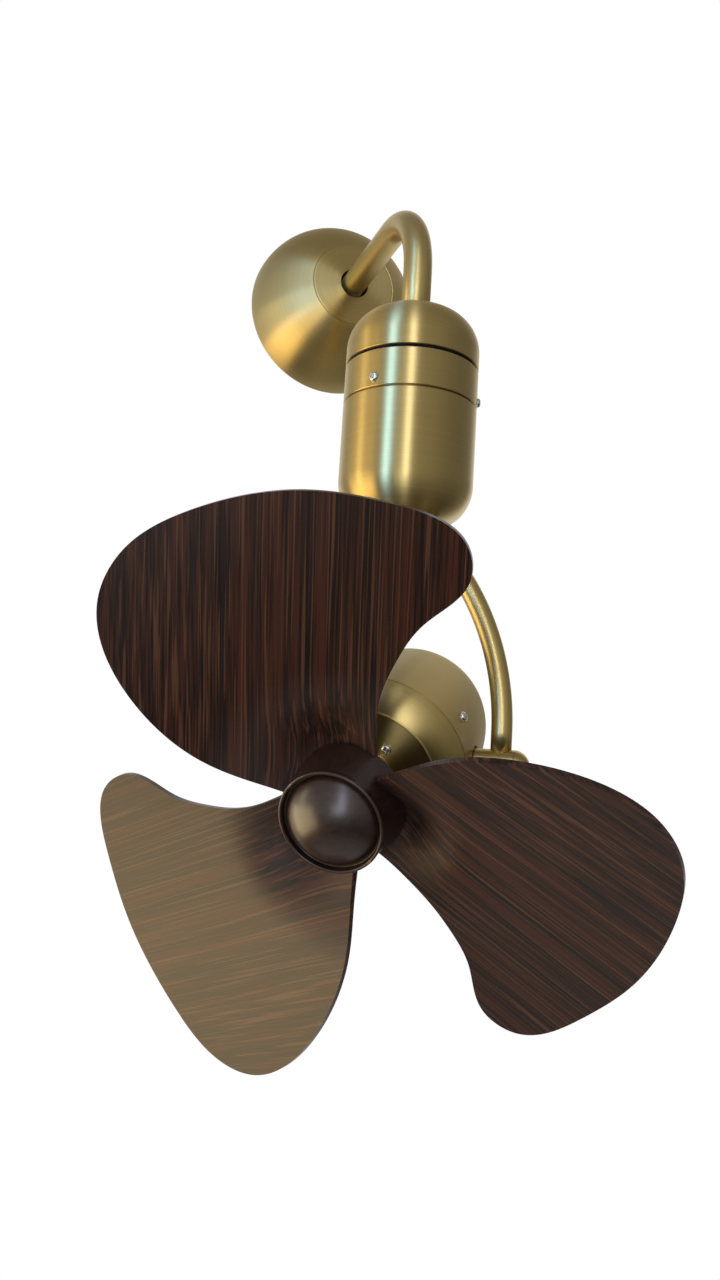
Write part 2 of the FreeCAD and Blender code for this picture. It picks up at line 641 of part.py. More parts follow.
# Frame: casting inside the barrel with the bearing hub, a plate under the ring's lip and a screw skirt.
ring_inside = d.barrel_radius - d.barrel_wall
spigot_outer = ring_inside - d.seat_clearance
spigot_inner = spigot_outer - d.barrel_wall
skirt_outer = spigot_inner - d.seat_clearance
skirt_inner = skirt_outer - d.frame_skirt
hub_outer = bearing_seat + d.hub_wall
bearing_shoulder = bearing_seat - d.bearing_wall / 2
skirt_bottom = ring_bottom + d.skirt_rise
frame = turned("frame", [(bearing_seat, frame_top), (spigot_outer, frame_top), (spigot_outer, frame_under),
                         (skirt_outer, frame_under), (skirt_outer, skirt_bottom), (skirt_inner, skirt_bottom),
                         (skirt_inner, frame_under), (hub_outer, frame_under), (hub_outer, hub_bottom),
                         (bearing_seat, hub_bottom), (bearing_seat, hub_bottom + d.bearing_width),
                         (bearing_shoulder, hub_bottom + d.bearing_width),
                         (bearing_shoulder, frame_top - d.bearing_width),
                         (bearing_seat, frame_top - d.bearing_width)])
deck_radius = spigot_inner - d.deck_margin
post_places = [turn * shift(deck_radius - d.post_inset, 0, 0) for turn in around(3, d.post_turn)]
frame = drilled("frame_tapped", frame, d.stud_radius + d.seat_clearance, d.frame_plate,
                [shift(0, 0, frame_under) * place for place in post_places])
ring_screw_level = ring_bottom + d.ring_screw_rise
ring_screw_places = [turn * shift(0, 0, ring_screw_level) * ALONG_PIVOT
                     for turn in around(3, FRONT - d.ring_screw_turn)]
screw_hole = d.screw_radius + d.seat_clearance
ring_screw_way = d.barrel_radius + d.screw_grip
node("swivel_frame", drilled("frame_bored", frame, screw_hole, ring_screw_way, ring_screw_places), BARREL)

# Turning ring: the brass band under the dark gap.
band = turned("band", [(d.lip_radius, ring_top), (d.barrel_radius, ring_top), (d.barrel_radius, ring_bottom),
                       (ring_inside, ring_bottom), (ring_inside, frame_top), (d.lip_radius, frame_top)])
node("swivel_ring", drilled("band_bored", band, screw_hole, ring_screw_way, ring_screw_places), BARREL)

# Lower shell: the long round end of the bullet, with a spigot inside the ring.
spigot_top = ring_bottom + d.spigot_height
stem_hole = d.stem_radius + d.seat_clearance
shell = turned("shell", [(spigot_inner, spigot_top), (spigot_outer, spigot_top), (spigot_outer, ring_bottom),
                         (d.barrel_radius, ring_bottom),
                         (d.barrel_radius, shell_bottom + barrel_corner, barrel_corner, 1),
                         (d.barrel_flat, shell_bottom), (stem_hole, shell_bottom),
                         (stem_hole, shell_bottom + d.barrel_wall),
                         (d.barrel_flat, shell_bottom + d.barrel_wall, inner_corner - d.barrel_wall, -1),
                         (spigot_inner, shell_bottom + barrel_corner)])
node("barrel_shell", drilled("shell_bored", shell, screw_hole, ring_screw_way, ring_screw_places), BARREL)
ring_screw = pan_screw("ring_screw", d.screw_grip)
group("ring_screws", ring_screw,
      [place * shift(0, 0, d.barrel_radius) for place in ring_screw_places], BARREL)

# Swing drive: a fixed gear on the spindle, and a pinion on a small gear motor that rides inside the barrel.
# The motor fills the room between the boss under the deck and the deck's rim, which gives the tooth size.
can_inner = d.stem_boss_radius + d.can_gap
can_outer = deck_radius - d.can_margin
can_radius = (can_outer - can_inner) / 2
gear_spread = (can_outer + can_inner) / 2
gear_module = 2 * gear_spread / (d.spindle_teeth + d.pinion_teeth)


def gear_outline(teeth, first_angle):
    """Closed outline of a spur gear with involute flanks, thinned by half the play."""
    module = float(gear_module)
    pressure = math.radians(float(d.pressure_angle))
    pitch = module * teeth / 2
    base = pitch * math.cos(pressure)
    tip = pitch + module
    foot = pitch - float(d.tooth_foot) * module

    def involute(radius):
        angle = math.acos(min(base / radius, 1.0))
        return math.tan(angle) - angle

    half = math.pi / (2 * teeth) - float(d.backlash) / (4 * pitch) + involute(pitch)
    start = max(base, foot)
    steps = 4
    flank = [start + (tip - start) * step / steps for step in range(steps + 1)]
    points = []
    for tooth in range(teeth):
        middle = math.radians(first_angle) + 2 * math.pi * tooth / teeth
        rising = [(radius, middle - half + involute(radius)) for radius in flank]
        falling = [(radius, middle + half - involute(radius)) for radius in reversed(flank)]
        foot_in = [(foot, rising[0][1])] if foot < start else []
        foot_out = [(foot, falling[-1][1])] if foot < start else []
        for radius, angle in foot_in + rising + falling + foot_out:
            points.append(FreeCAD.Vector(radius * math.cos(angle), radius * math.sin(angle), 0))
    return Part.Face(Part.makePolygon(points + points[:1]))


def gear(name, teeth, first_angle, low, width):
    blank = doc.addObject("Part::Feature", name)
    blank.Shape = gear_outline(int(float(teeth)), first_angle).extrude(vector(0, 0, width))
    blank.Placement = shift(0, 0, low)
    return blank


pinion_place = spin(Z_AXIS, d.pinion_turn) * shift(gear_spread, 0, 0)
half_tooth = OPPOSITE / float(d.pinion_teeth)
fixed_gear = gear("fixed_gear_blank", d.spindle_teeth, float(d.pinion_turn), gear_bottom, d.gear_width)
node("spindle_gear", drilled("fixed_gear", fixed_gear, d.journal_radius + d.seat_clearance, d.gear_width,
                             [shift(0, 0, gear_bottom)]), BARREL)
node("gear_clip", ring("clip", d.journal_radius + d.seat_clearance, d.journal_radius + d.clip_wall,
                       clip_bottom, gear_bottom), BARREL)
pinion_bottom = gear_bottom + d.pinion_inset
pinion_width = d.gear_width - 2 * d.pinion_inset
pinion_teeth = gear("pinion_blank", d.pinion_teeth, OPPOSITE + half_tooth, pinion_bottom, pinion_width)
pinion_foot = deck_bottom - d.pinion_depth
pinion_shaft = rods("pinion_shaft", d.pinion_shaft, gear_top - pinion_foot, [shift(0, 0, pinion_foot)])
node("drive_pinion", fused("pinion", [pinion_teeth, pinion_shaft]), BARREL * pinion_place)

# Deck: steel disc on three posts, which carries the gear motor and takes the stem of the yoke.
boss_end = deck_bottom - d.stem_boss_depth
deck = turned("deck", [(stem_hole, deck_top), (deck_radius, deck_top), (deck_radius, deck_bottom),
                       (d.stem_boss_radius, deck_bottom), (d.stem_boss_radius, boss_end),
                       (stem_hole, boss_end)])
deck = drilled("deck_bored", deck, d.stud_radius + d.seat_clearance, d.deck_thickness,
               [shift(0, 0, deck_bottom) * place for place in post_places])
ear_screw_offset = can_radius + d.motor_ear_screw
ear_places = [pinion_place * shift(0, side * ear_screw_offset, 0) for side in (1, -1)]
deck = drilled("deck_tapped", deck, screw_hole, d.deck_thickness,
               [shift(0, 0, deck_bottom) * place for place in ear_places])
deck = drilled("deck_cleared", deck, d.pinion_shaft + d.shaft_gap, d.deck_thickness,
               [shift(0, 0, deck_bottom) * pinion_place])
node("motor_deck", deck, BARREL)
post_length = frame_under - deck_top
post_foot = -d.deck_thickness - d.nut_height
post_tip = post_length + d.frame_plate - d.screw_spare
post = turned("post", [(0, post_foot), (d.stud_radius, post_foot), (d.stud_radius, 0), (d.post_radius, 0),
                       (d.post_radius, post_length), (d.stud_radius, post_length),
                       (d.stud_radius, post_tip), (0, post_tip)])
group("deck_posts", post, [shift(0, 0, deck_top) * place for place in post_places], BARREL)
post_nut = nut("post_nut", d.post_radius, d.nut_height, d.stud_radius + d.seat_clearance)
group("post_nuts", post_nut,
      [shift(0, 0, deck_bottom - d.nut_height) * place for place in post_places], BARREL)

# Swing motor: a small geared motor under the deck, with two ears.
round_end = shell_bottom + barrel_corner - leg(inner_corner - d.barrel_wall, can_outer - d.barrel_flat)
can_bottom = round_end + d.can_clearance - deck_bottom
can = turned("can", [(d.pinion_shaft + d.running_clearance, 0), (can_radius, 0),
                     (can_radius, can_bottom), (0, can_bottom), (0, -d.pinion_depth - d.hole_spare),
                     (d.pinion_shaft + d.running_clearance, -d.pinion_depth - d.hole_spare)])
half_length = can_radius + d.motor_ear_reach
half_width = d.motor_ear_width / 2
ear_start = can_radius / 2
for side in (1, -1):
    padded(can, "lug_front" if side > 0 else "lug_back",
           [(-half_width, side * ear_start), (half_width, side * ear_start),
            (half_width, side * half_length), (-half_width, side * half_length)],
           -d.motor_ear_thickness, d.motor_ear_thickness)
can = drilled("can_bored", can, screw_hole, d.motor_ear_thickness,
              [shift(0, side * ear_screw_offset, -d.motor_ear_thickness) for side in (1, -1)])
node("swing_motor", can, BARREL * shift(0, 0, deck_bottom) * pinion_place)
ear_screw = pan_screw("ear_screw", d.motor_ear_thickness + d.deck_thickness - d.screw_spare)
ear_seat = shift(0, 0, deck_bottom - d.motor_ear_thickness)
group("swing_motor_screws", ear_screw,
      [ear_seat * place * spin(X_AXIS, OPPOSITE) for place in ear_places], BARREL)

# Yoke: a stem from the deck through the shell, a round boss under it, and two curved arms.
stem_foot = shell_bottom - d.stem_depth
stem = rods("stem", d.stem_radius, deck_top - stem_foot - d.screw_spare, [FreeCAD.Placement()])
node("yoke_stem", stem, BARREL * shift(0, 0, stem_foot))
pivot_level = -d.pivot_drop
arm_top = pivot_level + d.arm_straight
arm_end = shell_bottom - d.arm_end_drop
arm_run = arm_end - arm_top
arm_lean = d.arm_offset - d.arm_end_offset
arm_bend = (arm_lean * arm_lean + arm_run * arm_run) / (2 * arm_lean)


def arm_rod(name, radius):
    return piped(name, "XY_Plane", pivot_level + d.arm_seat, d.arm_offset, (radius,), "XZ_Plane",
                 [(d.arm_offset, pivot_level + d.arm_seat), (d.arm_offset, arm_top, arm_bend, -1),
                  (d.arm_end_offset, arm_end)])


arm_hole = d.arm_radius + d.seat_clearance
hub_base = shell_bottom - d.yoke_hub_height
yoke_hub = turned("yoke_hub", [(stem_hole, shell_bottom), (d.yoke_hub_radius, shell_bottom),
                               (d.yoke_hub_radius, hub_base + d.yoke_hub_corner, d.yoke_hub_corner, 1),
                               (d.yoke_hub_radius - d.yoke_hub_corner, hub_base), (0, hub_base),
                               (0, stem_foot - d.hole_spare), (stem_hole, stem_foot - d.hole_spare)])
for side, turn in SIDES.items():
    socket = arm_rod(f"arm_socket_{side}", arm_hole)
    socket.Placement = turn
    yoke_hub = cut(f"yoke_hub_{side}", yoke_hub, socket)
    node(f"yoke_arm_{side}", arm_rod(f"arm_{side}", d.arm_radius), BARREL * turn)
node("yoke_hub", yoke_hub, BARREL)

# Knuckles: brass bosses at the feet of the arms, with domed caps over the heads of the pivot bolts.
pivot_bore = d.pivot_radius + d.running_clearance
knuckle_outer = d.knuckle_inner + d.knuckle_length
recess_floor = knuckle_outer - d.head_recess
plug_floor = knuckle_outer - d.cap_plug
dome_curve = (d.knuckle_radius * d.knuckle_radius + d.cap_dome * d.cap_dome) / (2 * d.cap_dome)
washer_inner = d.knuckle_inner - d.face_clearance - d.washer_thickness
bolt_foot = washer_inner - d.bolt_depth
bolt_seat = recess_floor + d.face_clearance
for side, turn in SIDES.items():
    knuckle = turned(f"knuckle_{side}_blank",
                     [(pivot_bore, d.knuckle_inner), (d.knuckle_radius, d.knuckle_inner),
                      (d.knuckle_radius, knuckle_outer), (d.recess_radius, knuckle_outer),
                      (d.recess_radius, recess_floor), (pivot_bore, recess_floor)])
    up = spin(Y_AXIS, -90)
    knuckle = drilled(f"knuckle_{side}", knuckle, arm_hole, d.knuckle_radius,
                      [shift(-d.arm_seat, 0, d.arm_offset) * up])
    node(f"knuckle_{side}", knuckle, PIVOT * turn * ALONG_PIVOT)
cap_dome = turned("dome_cap", [(0, plug_floor), (d.recess_radius - d.seat_clearance, plug_floor),
                               (d.recess_radius - d.seat_clearance, knuckle_outer),
                               (d.knuckle_radius, knuckle_outer, dome_curve, -1),
                               (0, knuckle_outer + d.cap_dome)])
sides = [turn * ALONG_PIVOT for turn in SIDES.values()]
group("knuckle_caps", cap_dome, sides, PIVOT)
pivot_bolt = turned("pivot_bolt", [(0, bolt_foot), (d.pivot_radius, bolt_foot), (d.pivot_radius, bolt_seat),
                                   (d.bolt_head_radius, bolt_seat),
                                   (d.bolt_head_radius, bolt_seat + d.bolt_head_height),
                                   (0, bolt_seat + d.bolt_head_height)])
group("pivot_bolts", pivot_bolt, sides, TILTED)
washer = ring("washer", d.pivot_radius + d.seat_clearance, d.washer_radius,
              washer_inner, washer_inner + d.washer_thickness)
group("friction_washers", washer, sides, TILTED)

# Rear cover of the motor: a deep brass bullet with bosses for pivot bolts, stator and rear bearing.
dome_station = d.mouth_station - d.dome_setback
bow = ((d.mouth_radius * d.mouth_radius + d.dome_setback * d.dome_setback - d.dome_radius * d.dome_radius)
       / (2 * (d.mouth_radius - d.dome_radius)))
lean = (bow - d.mouth_radius) / (bow - d.dome_radius)
drop = d.dome_setback / (bow - d.dome_radius)
dome_inside = d.dome_radius - d.cover_wall
bow_inside = bow - d.cover_wall
rear_cover = turned("rear_cover",
                    [(d.mouth_radius, d.mouth_station, bow, 1),
                     (d.dome_radius * lean, dome_station - d.dome_radius * drop, d.dome_radius, 1),
                     (0, dome_station - d.dome_radius), (0, dome_station - dome_inside, dome_inside, -1),
                     (dome_inside * lean, dome_station - dome_inside * drop, bow_inside, -1),
                     (d.mouth_radius - d.cover_wall, d.mouth_station)])
shaft_bearing_bore = d.shaft_radius + d.running_clearance
shaft_bearing_seat = d.shaft_radius + d.shaft_bearing_wall
bearing_boss = shaft_bearing_seat + d.bearing_boss_wall
shaft_way = d.shaft_radius + d.shaft_bearing_wall / 2
rear_bearing_front = dome_station - d.rear_bearing_setback + d.shaft_bearing_width
rear_bearing_back = dome_station - d.rear_bearing_setback
boss_back = dome_station - leg(dome_inside, bearing_boss) - d.cover_wall / 2
rear_boss = turned("rear_boss", [(shaft_way, boss_back), (bearing_boss, boss_back),
                                 (bearing_boss, rear_bearing_front), (shaft_bearing_seat, rear_bearing_front),
                                 (shaft_bearing_seat, rear_bearing_back), (shaft_way, rear_bearing_back)])
stator_middle = d.mouth_station - d.stator_setback
stator_front = stator_middle + d.stator_length / 2
stator_back = stator_middle - d.stator_length / 2
stator_seat = d.stator_radius + d.seat_clearance
land_outer = dome_inside + d.cover_wall / 3
stator_land = ring("stator_land", stator_seat, land_outer, dome_station - d.land_length, dome_station)
pivot_line = shift(0, -d.axis_rise, 0)
pivot_bosses = rods("pivot_bosses", d.pivot_boss_radius, d.bolt_depth,
                    [pivot_line * side * shift(0, 0, bolt_foot) for side in sides])
rear_cover = fused("rear_cover_whole", [rear_cover, rear_boss, stator_land, pivot_bosses])
rear_cover = drilled("rear_cover_faced", rear_cover, d.spot_face_radius, d.bolt_depth,
                     [pivot_line * side * shift(0, 0, washer_inner) for side in sides])
rear_cover = drilled("rear_cover_threaded", rear_cover, d.pivot_radius + d.seat_clearance, d.bolt_depth * 2,
                     [pivot_line * side * shift(0, 0, bolt_foot) for side in sides])
cover_screw_station = d.mouth_station - d.cover_screw_inset
cover_screw_seat = d.mouth_radius - bow + leg(bow, d.cover_screw_inset - d.screw_head_radius)
cover_screw_places = [turn * shift(0, 0, cover_screw_station) * ALONG_PIVOT
                      for turn in around(3, d.cover_screw_turn)]
screw_way = d.mouth_radius + d.screw_grip
rear_cover = drilled("rear_cover_bored", rear_cover, screw_hole, screw_way, cover_screw_places)
node("motor_rear_cover", rear_cover, HEAD)
cover_screw = pan_screw("cover_screw", d.screw_grip)
group("cover_screws", cover_screw,
      [place * shift(0, 0, cover_screw_seat) for place in cover_screw_places], HEAD)

# Front cover: the brass shoulder ring, with a spigot in the rear cover and a ledge for the front plate.
face_station = d.mouth_station + d.shoulder_length
plate_front = face_station - d.plate_recess
plate_back = plate_front - d.plate_thickness
plate_radius = d.face_radius - d.face_lip
ledge_inner = plate_radius - d.ledge_width
spigot_end = d.mouth_station - d.spigot_length
cover_spigot = d.mouth_radius - bow + leg(bow_inside, d.spigot_length) - d.seat_clearance
cover_spigot_inner = cover_spigot - d.cover_wall
front_cover = turned("front_cover",
                     [(cover_spigot, d.mouth_station),
                      (d.mouth_radius, d.mouth_station, d.shoulder_curve, -1),
                      (d.face_radius, face_station), (plate_radius, face_station), (plate_radius, plate_back),
                      (ledge_inner, plate_back), (ledge_inner, plate_back - d.cover_wall),
                      (plate_radius, plate_back - d.cover_wall), (cover_spigot_inner, d.mouth_station),
                      (cover_spigot_inner, spigot_end), (cover_spigot, spigot_end)])
front_cover = drilled("front_cover_notched", front_cover, d.pivot_boss_radius + d.face_clearance,
                      d.bolt_depth * 2, [pivot_line * side * shift(0, 0, bolt_foot) for side in sides])
front_cover = drilled("front_cover_bored", front_cover, screw_hole, screw_way, cover_screw_places)
plate_places = [turn * shift(d.plate_screw_circle, 0, 0) for turn in around(3, d.plate_screw_turn)]
front_cover = drilled("front_cover_tapped", front_cover, screw_hole, d.plate_thickness + d.cover_wall,
                      [shift(0, 0, plate_back - d.cover_wall) * place for place in plate_places])
node("motor_front_cover", front_cover, HEAD)

# Front plate: a brass disc inside the ridge, with the front bearing in its boss.
boss_front = plate_front + d.plate_boss_length
front_bearing_back = boss_front - d.shaft_bearing_width
front_plate = turned("front_plate",
                     [(shaft_way, plate_back), (plate_radius - d.seat_clearance, plate_back),
                      (plate_radius - d.seat_clearance, plate_front), (bearing_boss, plate_front),
                      (bearing_boss, boss_front), (shaft_bearing_seat, boss_front),
                      (shaft_bearing_seat, front_bearing_back), (shaft_way, front_bearing_back)])
node("front_plate", drilled("front_plate_bored", front_plate, screw_hole, d.plate_thickness,
                            [shift(0, 0, plate_back) * place for place in plate_places]), HEAD)
plate_screw = pan_screw("plate_screw", d.plate_thickness + d.cover_wall - d.screw_spare)
group("front_plate_screws", plate_screw, [shift(0, 0, plate_front) * place for place in plate_places], HEAD)
bearing_round = shaft_bearing_seat - d.seat_clearance
front_bearing = ring("front_bearing", shaft_bearing_bore, bearing_round, front_bearing_back, boss_front)
node("front_bearing", front_bearing, HEAD)
rear_bearing = ring("rear_bearing", shaft_bearing_bore, bearing_round, rear_bearing_back, rear_bearing_front)
node("rear_bearing", rear_bearing, HEAD)

# Motor inside the head: wound stator in the rear cover, rotor on the shaft.
node("stator_core", ring("stator_core", d.stator_bore, d.stator_radius, stator_back, stator_front), HEAD)
coils = []
for coil_middle in (stator_front + d.winding_radius, stator_back - d.winding_radius):
    coil = doc.addObject("Part::Torus", "coil_head")
    coil.setExpression("Radius1", d.winding_circle.formula)
    coil.setExpression("Radius2", d.winding_radius.formula)
    coil.Placement = shift(0, 0, coil_middle)
    coils.append(coil)
node("stator_windings", fused("windings", coils), HEAD)
rotor_radius = d.stator_bore - d.air_gap
shaft_seat = d.shaft_radius + d.seat_clearance
node("rotor_core", ring("rotor_core", shaft_seat, rotor_radius, stator_back, stator_front), HEAD)

# Hub: a dark lacquered drum with a raised front rim, slotted for the blades and held by a nut on the shaft.
hub_back = d.hub_station
hub_front = hub_back + d.hub_depth
hub_face = hub_front - d.rim_recess
pocket_floor = hub_face - d.nut_pocket_depth
collar_back = boss_front + d.collar_gap
nut_front = pocket_floor + d.hub_nut_height
shaft_front = nut_front + d.shaft_tail
shaft_back = rear_bearing_back - d.shaft_stub
node("motor_shaft", rods("shaft", d.shaft_radius, shaft_front - shaft_back, [FreeCAD.Placement()]),
     HEAD * shift(0, 0, shaft_back))
node("hub_nut", nut("shaft_nut", d.hub_nut_corner, d.hub_nut_height, shaft_seat),
     HEAD * shift(0, 0, pocket_floor))
hub = turned("hub", [(shaft_seat, collar_back), (d.hub_collar_radius, collar_back),
                     (d.hub_collar_radius, hub_back), (d.hub_back_radius, hub_back),
                     (d.hub_rear_radius, hub_back + d.hub_rear_inset),
                     (d.hub_waist_radius, hub_front - d.rim_depth),
                     (d.rim_radius, hub_front - d.rim_depth / 2), (d.rim_radius, hub_front),
                     (d.rim_inner_radius, hub_front), (d.rim_inner_radius, hub_face),
                     (d.nut_pocket_radius, hub_face), (d.nut_pocket_radius, pocket_floor),
                     (shaft_seat, pocket_floor)])

# Spinner: the glossy domed cap that plugs the hub's front.
spinner_top = hub_face + d.spinner_height
spinner_curve = ((d.spinner_radius * d.spinner_radius + d.spinner_height * d.spinner_height)
                 / (2 * d.spinner_height))
plug_radius = d.nut_pocket_radius - d.seat_clearance
spinner = turned("spinner", [(plug_radius - d.spinner_wall, hub_face - d.spinner_wall),
                             (plug_radius, hub_face - d.spinner_wall), (plug_radius, hub_face),
                             (d.spinner_radius, hub_face, spinner_curve, -1), (0, spinner_top),
                             (0, spinner_top - d.spinner_wall),
                             (plug_radius - d.spinner_wall, spinner_top - 2 * d.spinner_wall)])
node("spinner_cap", spinner, HEAD)


# Blades: thin paddles with a rounded leading edge and a hooked trailing tip, pitched, bowed and twisted.
# The root settles on the back of the hub, and its leading side stands in a slot of the hub.
OUTLINE = ("trail_root", "trail", "waist", "hook_neck", "hook", "heel", "tip_low", "tip", "tip_high",
           "shoulder", "crest", "lead", "lead_low", "lead_root")
blade_corners = [vector(getattr(d, name + "_out"), getattr(d, name + "_up"), 0) for name in OUTLINE]
blade_level = hub_back + d.blade_rise
seat_level = hub_back - d.blade_thickness / 2
FIELD_LINES = 22


def blade_lift(out, up):
    """Height of the blade's middle face."""
    share = up / float(d.crest_up)
    slope = math.tan(math.radians(float(d.blade_pitch)))
    twist = float(d.blade_wash) * (out - float(d.twist_station)) / float(d.tip_out)
    field = float(blade_level) + slope * up + float(d.blade_bow) * share * share + twist * share
    away = math.hypot(out - float(d.seat_out), up - float(d.seat_up)) / float(d.seat_spread)
    return field + (float(seat_level) - field) * math.exp(-away * away / 2)


def blade_sheet(extra):
    """Solid sheet that follows the blade's curved face, thicker by extra on both sides."""
    margin = float(d.field_margin)
    below = float(d.blade_thickness) / 2 + extra

    def lines(values):
        low, high = min(values) - margin, max(values) + margin
        return [low + (high - low) * step / (FIELD_LINES - 1) for step in range(FIELD_LINES)]

    rises = lines([corner.y for corner in blade_corners])
    spreads = lines([corner.x for corner in blade_corners])
    points = [[vector(out, up, blade_lift(out, up) - below) for up in rises] for out in spreads]
    face = Part.BSplineSurface()
    face.interpolate(points)
    return face.toShape().extrude(vector(0, 0, 2 * below))


def blade_prism():
    """Upright prism over the blade's outline."""
    curve = Part.BSplineCurve()
    curve.interpolate(blade_corners, PeriodicFlag=True)
    return Part.Face(Part.Wire(curve.toShape())).extrude(vector(0, 0, d.cutter_height))


def core(radius):
    return Part.makeCylinder(float(radius), float(d.cutter_height))


screw_spots = []
for angle in (d.blade_screw_turn, d.blade_screw_turn + d.blade_screw_spread):
    spot = spin(Z_AXIS, angle) * shift(d.blade_screw_circle, 0, 0)
    back = blade_lift(spot.Base.x, spot.Base.y) - float(d.blade_thickness / 2)
    screw_spots.append(shift(0, 0, back + float(d.blade_screw_sink)) * spot)
blade_screw_depth = pocket_floor - hub_back
blade_solid = blade_sheet(0).common(blade_prism()).cut(core(d.blade_root))
for spot in screw_spots:
    drill = Part.makeCylinder(float(screw_hole), float(blade_screw_depth))
    drill.Placement = spot
    seat = Part.makeCylinder(float(d.screw_head_radius + d.blade_screw_room), float(blade_screw_depth))
    seat.Placement = spot * spin(X_AXIS, OPPOSITE)
    blade_solid = blade_solid.cut(drill).cut(seat)
blade_turns = around(3, d.blade_first)
for index, turn in enumerate(blade_turns):
    blade = doc.addObject("Part::Feature", f"blade_{index + 1}")
    blade.Shape = blade_solid.Solids[0]
    node(f"blade_{index + 1}", blade, HEAD * turn)

slack = math.degrees(float(d.slot_clearance / d.blade_root))
slot = blade_sheet(float(d.slot_clearance)).cut(core(d.blade_root - d.slot_clearance))
wide = []
for angle in (slack, -slack):
    prism = blade_prism()
    prism.Placement = spin(Z_AXIS, angle)
    wide.append(prism)
slot = slot.common(wide[0].fuse(wide[1]))
slots = doc.addObject("Part::Feature", "blade_slots")
copies = []
for turn in blade_turns:
    copy = slot.copy()
    copy.Placement = turn
    copies.append(copy)
slots.Shape = Part.makeCompound(copies)
hub = cut("hub_slotted", hub, slots)
blade_screw_places = [turn * spot for turn in blade_turns for spot in screw_spots]
hub = drilled("hub_bored", hub, screw_hole, blade_screw_depth, blade_screw_places)
node("blade_hub", hub, HEAD)
blade_screw = pan_screw("blade_screw", blade_screw_depth - d.screw_spare)
group("blade_screws", blade_screw, [place * spin(X_AXIS, OPPOSITE) for place in blade_screw_places], HEAD)

doc.recompute()
faults = [item.Name for item in doc.Objects if {"Invalid", "Error"} & set(item.State)]
for label, piece in nodes.items():
    if piece.Shape.isNull() or not piece.Shape.isValid() or not piece.Shape.Solids:
        faults.append(label)
if faults:
    raise RuntimeError("failed pieces: " + ", ".join(faults))
os.makedirs("parts", exist_ok=True)
for label, piece in nodes.items():
    piece.Shape.exportStep(f"parts/{label}.step")
print(len(nodes), "nodes")
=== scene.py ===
import json
import math

import bpy
from mathutils import Matrix, Vector


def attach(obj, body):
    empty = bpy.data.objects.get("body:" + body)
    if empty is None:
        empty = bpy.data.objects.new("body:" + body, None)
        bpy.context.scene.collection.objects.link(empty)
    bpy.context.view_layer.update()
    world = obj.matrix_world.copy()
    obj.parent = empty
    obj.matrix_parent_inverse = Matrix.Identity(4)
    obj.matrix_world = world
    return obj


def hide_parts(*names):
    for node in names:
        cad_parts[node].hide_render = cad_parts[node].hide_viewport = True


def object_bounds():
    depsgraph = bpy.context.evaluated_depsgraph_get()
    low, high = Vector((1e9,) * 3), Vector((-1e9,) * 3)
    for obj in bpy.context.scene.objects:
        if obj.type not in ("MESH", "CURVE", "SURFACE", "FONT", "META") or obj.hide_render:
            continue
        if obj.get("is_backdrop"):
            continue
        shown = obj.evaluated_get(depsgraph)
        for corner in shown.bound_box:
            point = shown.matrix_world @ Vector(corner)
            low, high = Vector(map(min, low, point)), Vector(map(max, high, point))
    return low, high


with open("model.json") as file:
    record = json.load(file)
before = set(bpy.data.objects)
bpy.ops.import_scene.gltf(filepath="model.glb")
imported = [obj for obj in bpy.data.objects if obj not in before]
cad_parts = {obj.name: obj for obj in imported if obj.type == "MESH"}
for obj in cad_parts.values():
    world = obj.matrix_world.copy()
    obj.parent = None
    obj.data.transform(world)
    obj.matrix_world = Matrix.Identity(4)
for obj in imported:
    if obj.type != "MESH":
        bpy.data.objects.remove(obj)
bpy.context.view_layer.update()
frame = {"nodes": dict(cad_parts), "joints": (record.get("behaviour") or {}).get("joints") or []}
MM = 0.001

# Wall bracket: a round steel plate with a welded collar and two ears, painted black and screwed to the wall.
# The canopy hides it from the front, so only its paint matters.


class Shade:
    """A socket of a material's nodes; arithmetic on it adds Math nodes."""

    def __init__(self, tree, socket):
        self.tree = tree
        self.socket = socket

    def node(self, kind, settings, inputs, output=0):
        """Adds a node: its settings first, then the values or links of its sockets."""
        made = self.tree.nodes.new(kind)
        for name, value in settings.items():
            setattr(made, name, value)
        for name, value in inputs.items():
            if isinstance(value, Shade):
                self.tree.links.new(value.socket, made.inputs[name])
            else:
                made.inputs[name].default_value = value
        return Shade(self.tree, made.outputs[output])

    def math(self, operation, first, second):
        return self.node("ShaderNodeMath", {"operation": operation}, {0: first, 1: second})

    def __add__(self, other):
        return self.math("ADD", self, other)

    def __rsub__(self, other):
        return self.math("SUBTRACT", other, self)

    def __mul__(self, other):
        return self.math("MULTIPLY", self, other)

    __radd__ = __add__
    __rmul__ = __mul__

    def times(self, scale):
        """The vector stretched by three numbers."""
        return self.node("ShaderNodeVectorMath", {"operation": "MULTIPLY"}, {0: self, 1: scale})

    def plus(self, other):
        """The vector with another one added."""
        return self.node("ShaderNodeVectorMath", {"operation": "ADD"}, {0: self, 1: other})

    def length(self):
        return self.node("ShaderNodeVectorMath", {"operation": "LENGTH"}, {0: self}, "Value")

    def part(self, axis):
        """The X, Y or Z of the vector, as axis 0, 1 or 2."""
        return self.node("ShaderNodeSeparateXYZ", {}, {0: self}, axis)

    def noise(self, scale, detail=2.0, roughness=0.5):
        return self.node("ShaderNodeTexNoise", {}, {"Vector": self, "Scale": scale, "Detail": detail,
                                                    "Roughness": roughness})

    def between(self, low, high):
        """0 below low, 1 above high, smooth in between."""
        return self.node("ShaderNodeMapRange", {"interpolation_type": "SMOOTHSTEP"},
                         {"Value": self, "From Min": low, "From Max": high})

    def blend(self, first, second):
        """From the first colour to the second as the value goes from 0 to 1."""
        return self.node("ShaderNodeMix", {"data_type": "RGBA"}, {0: self, 6: first, 7: second}, 2)


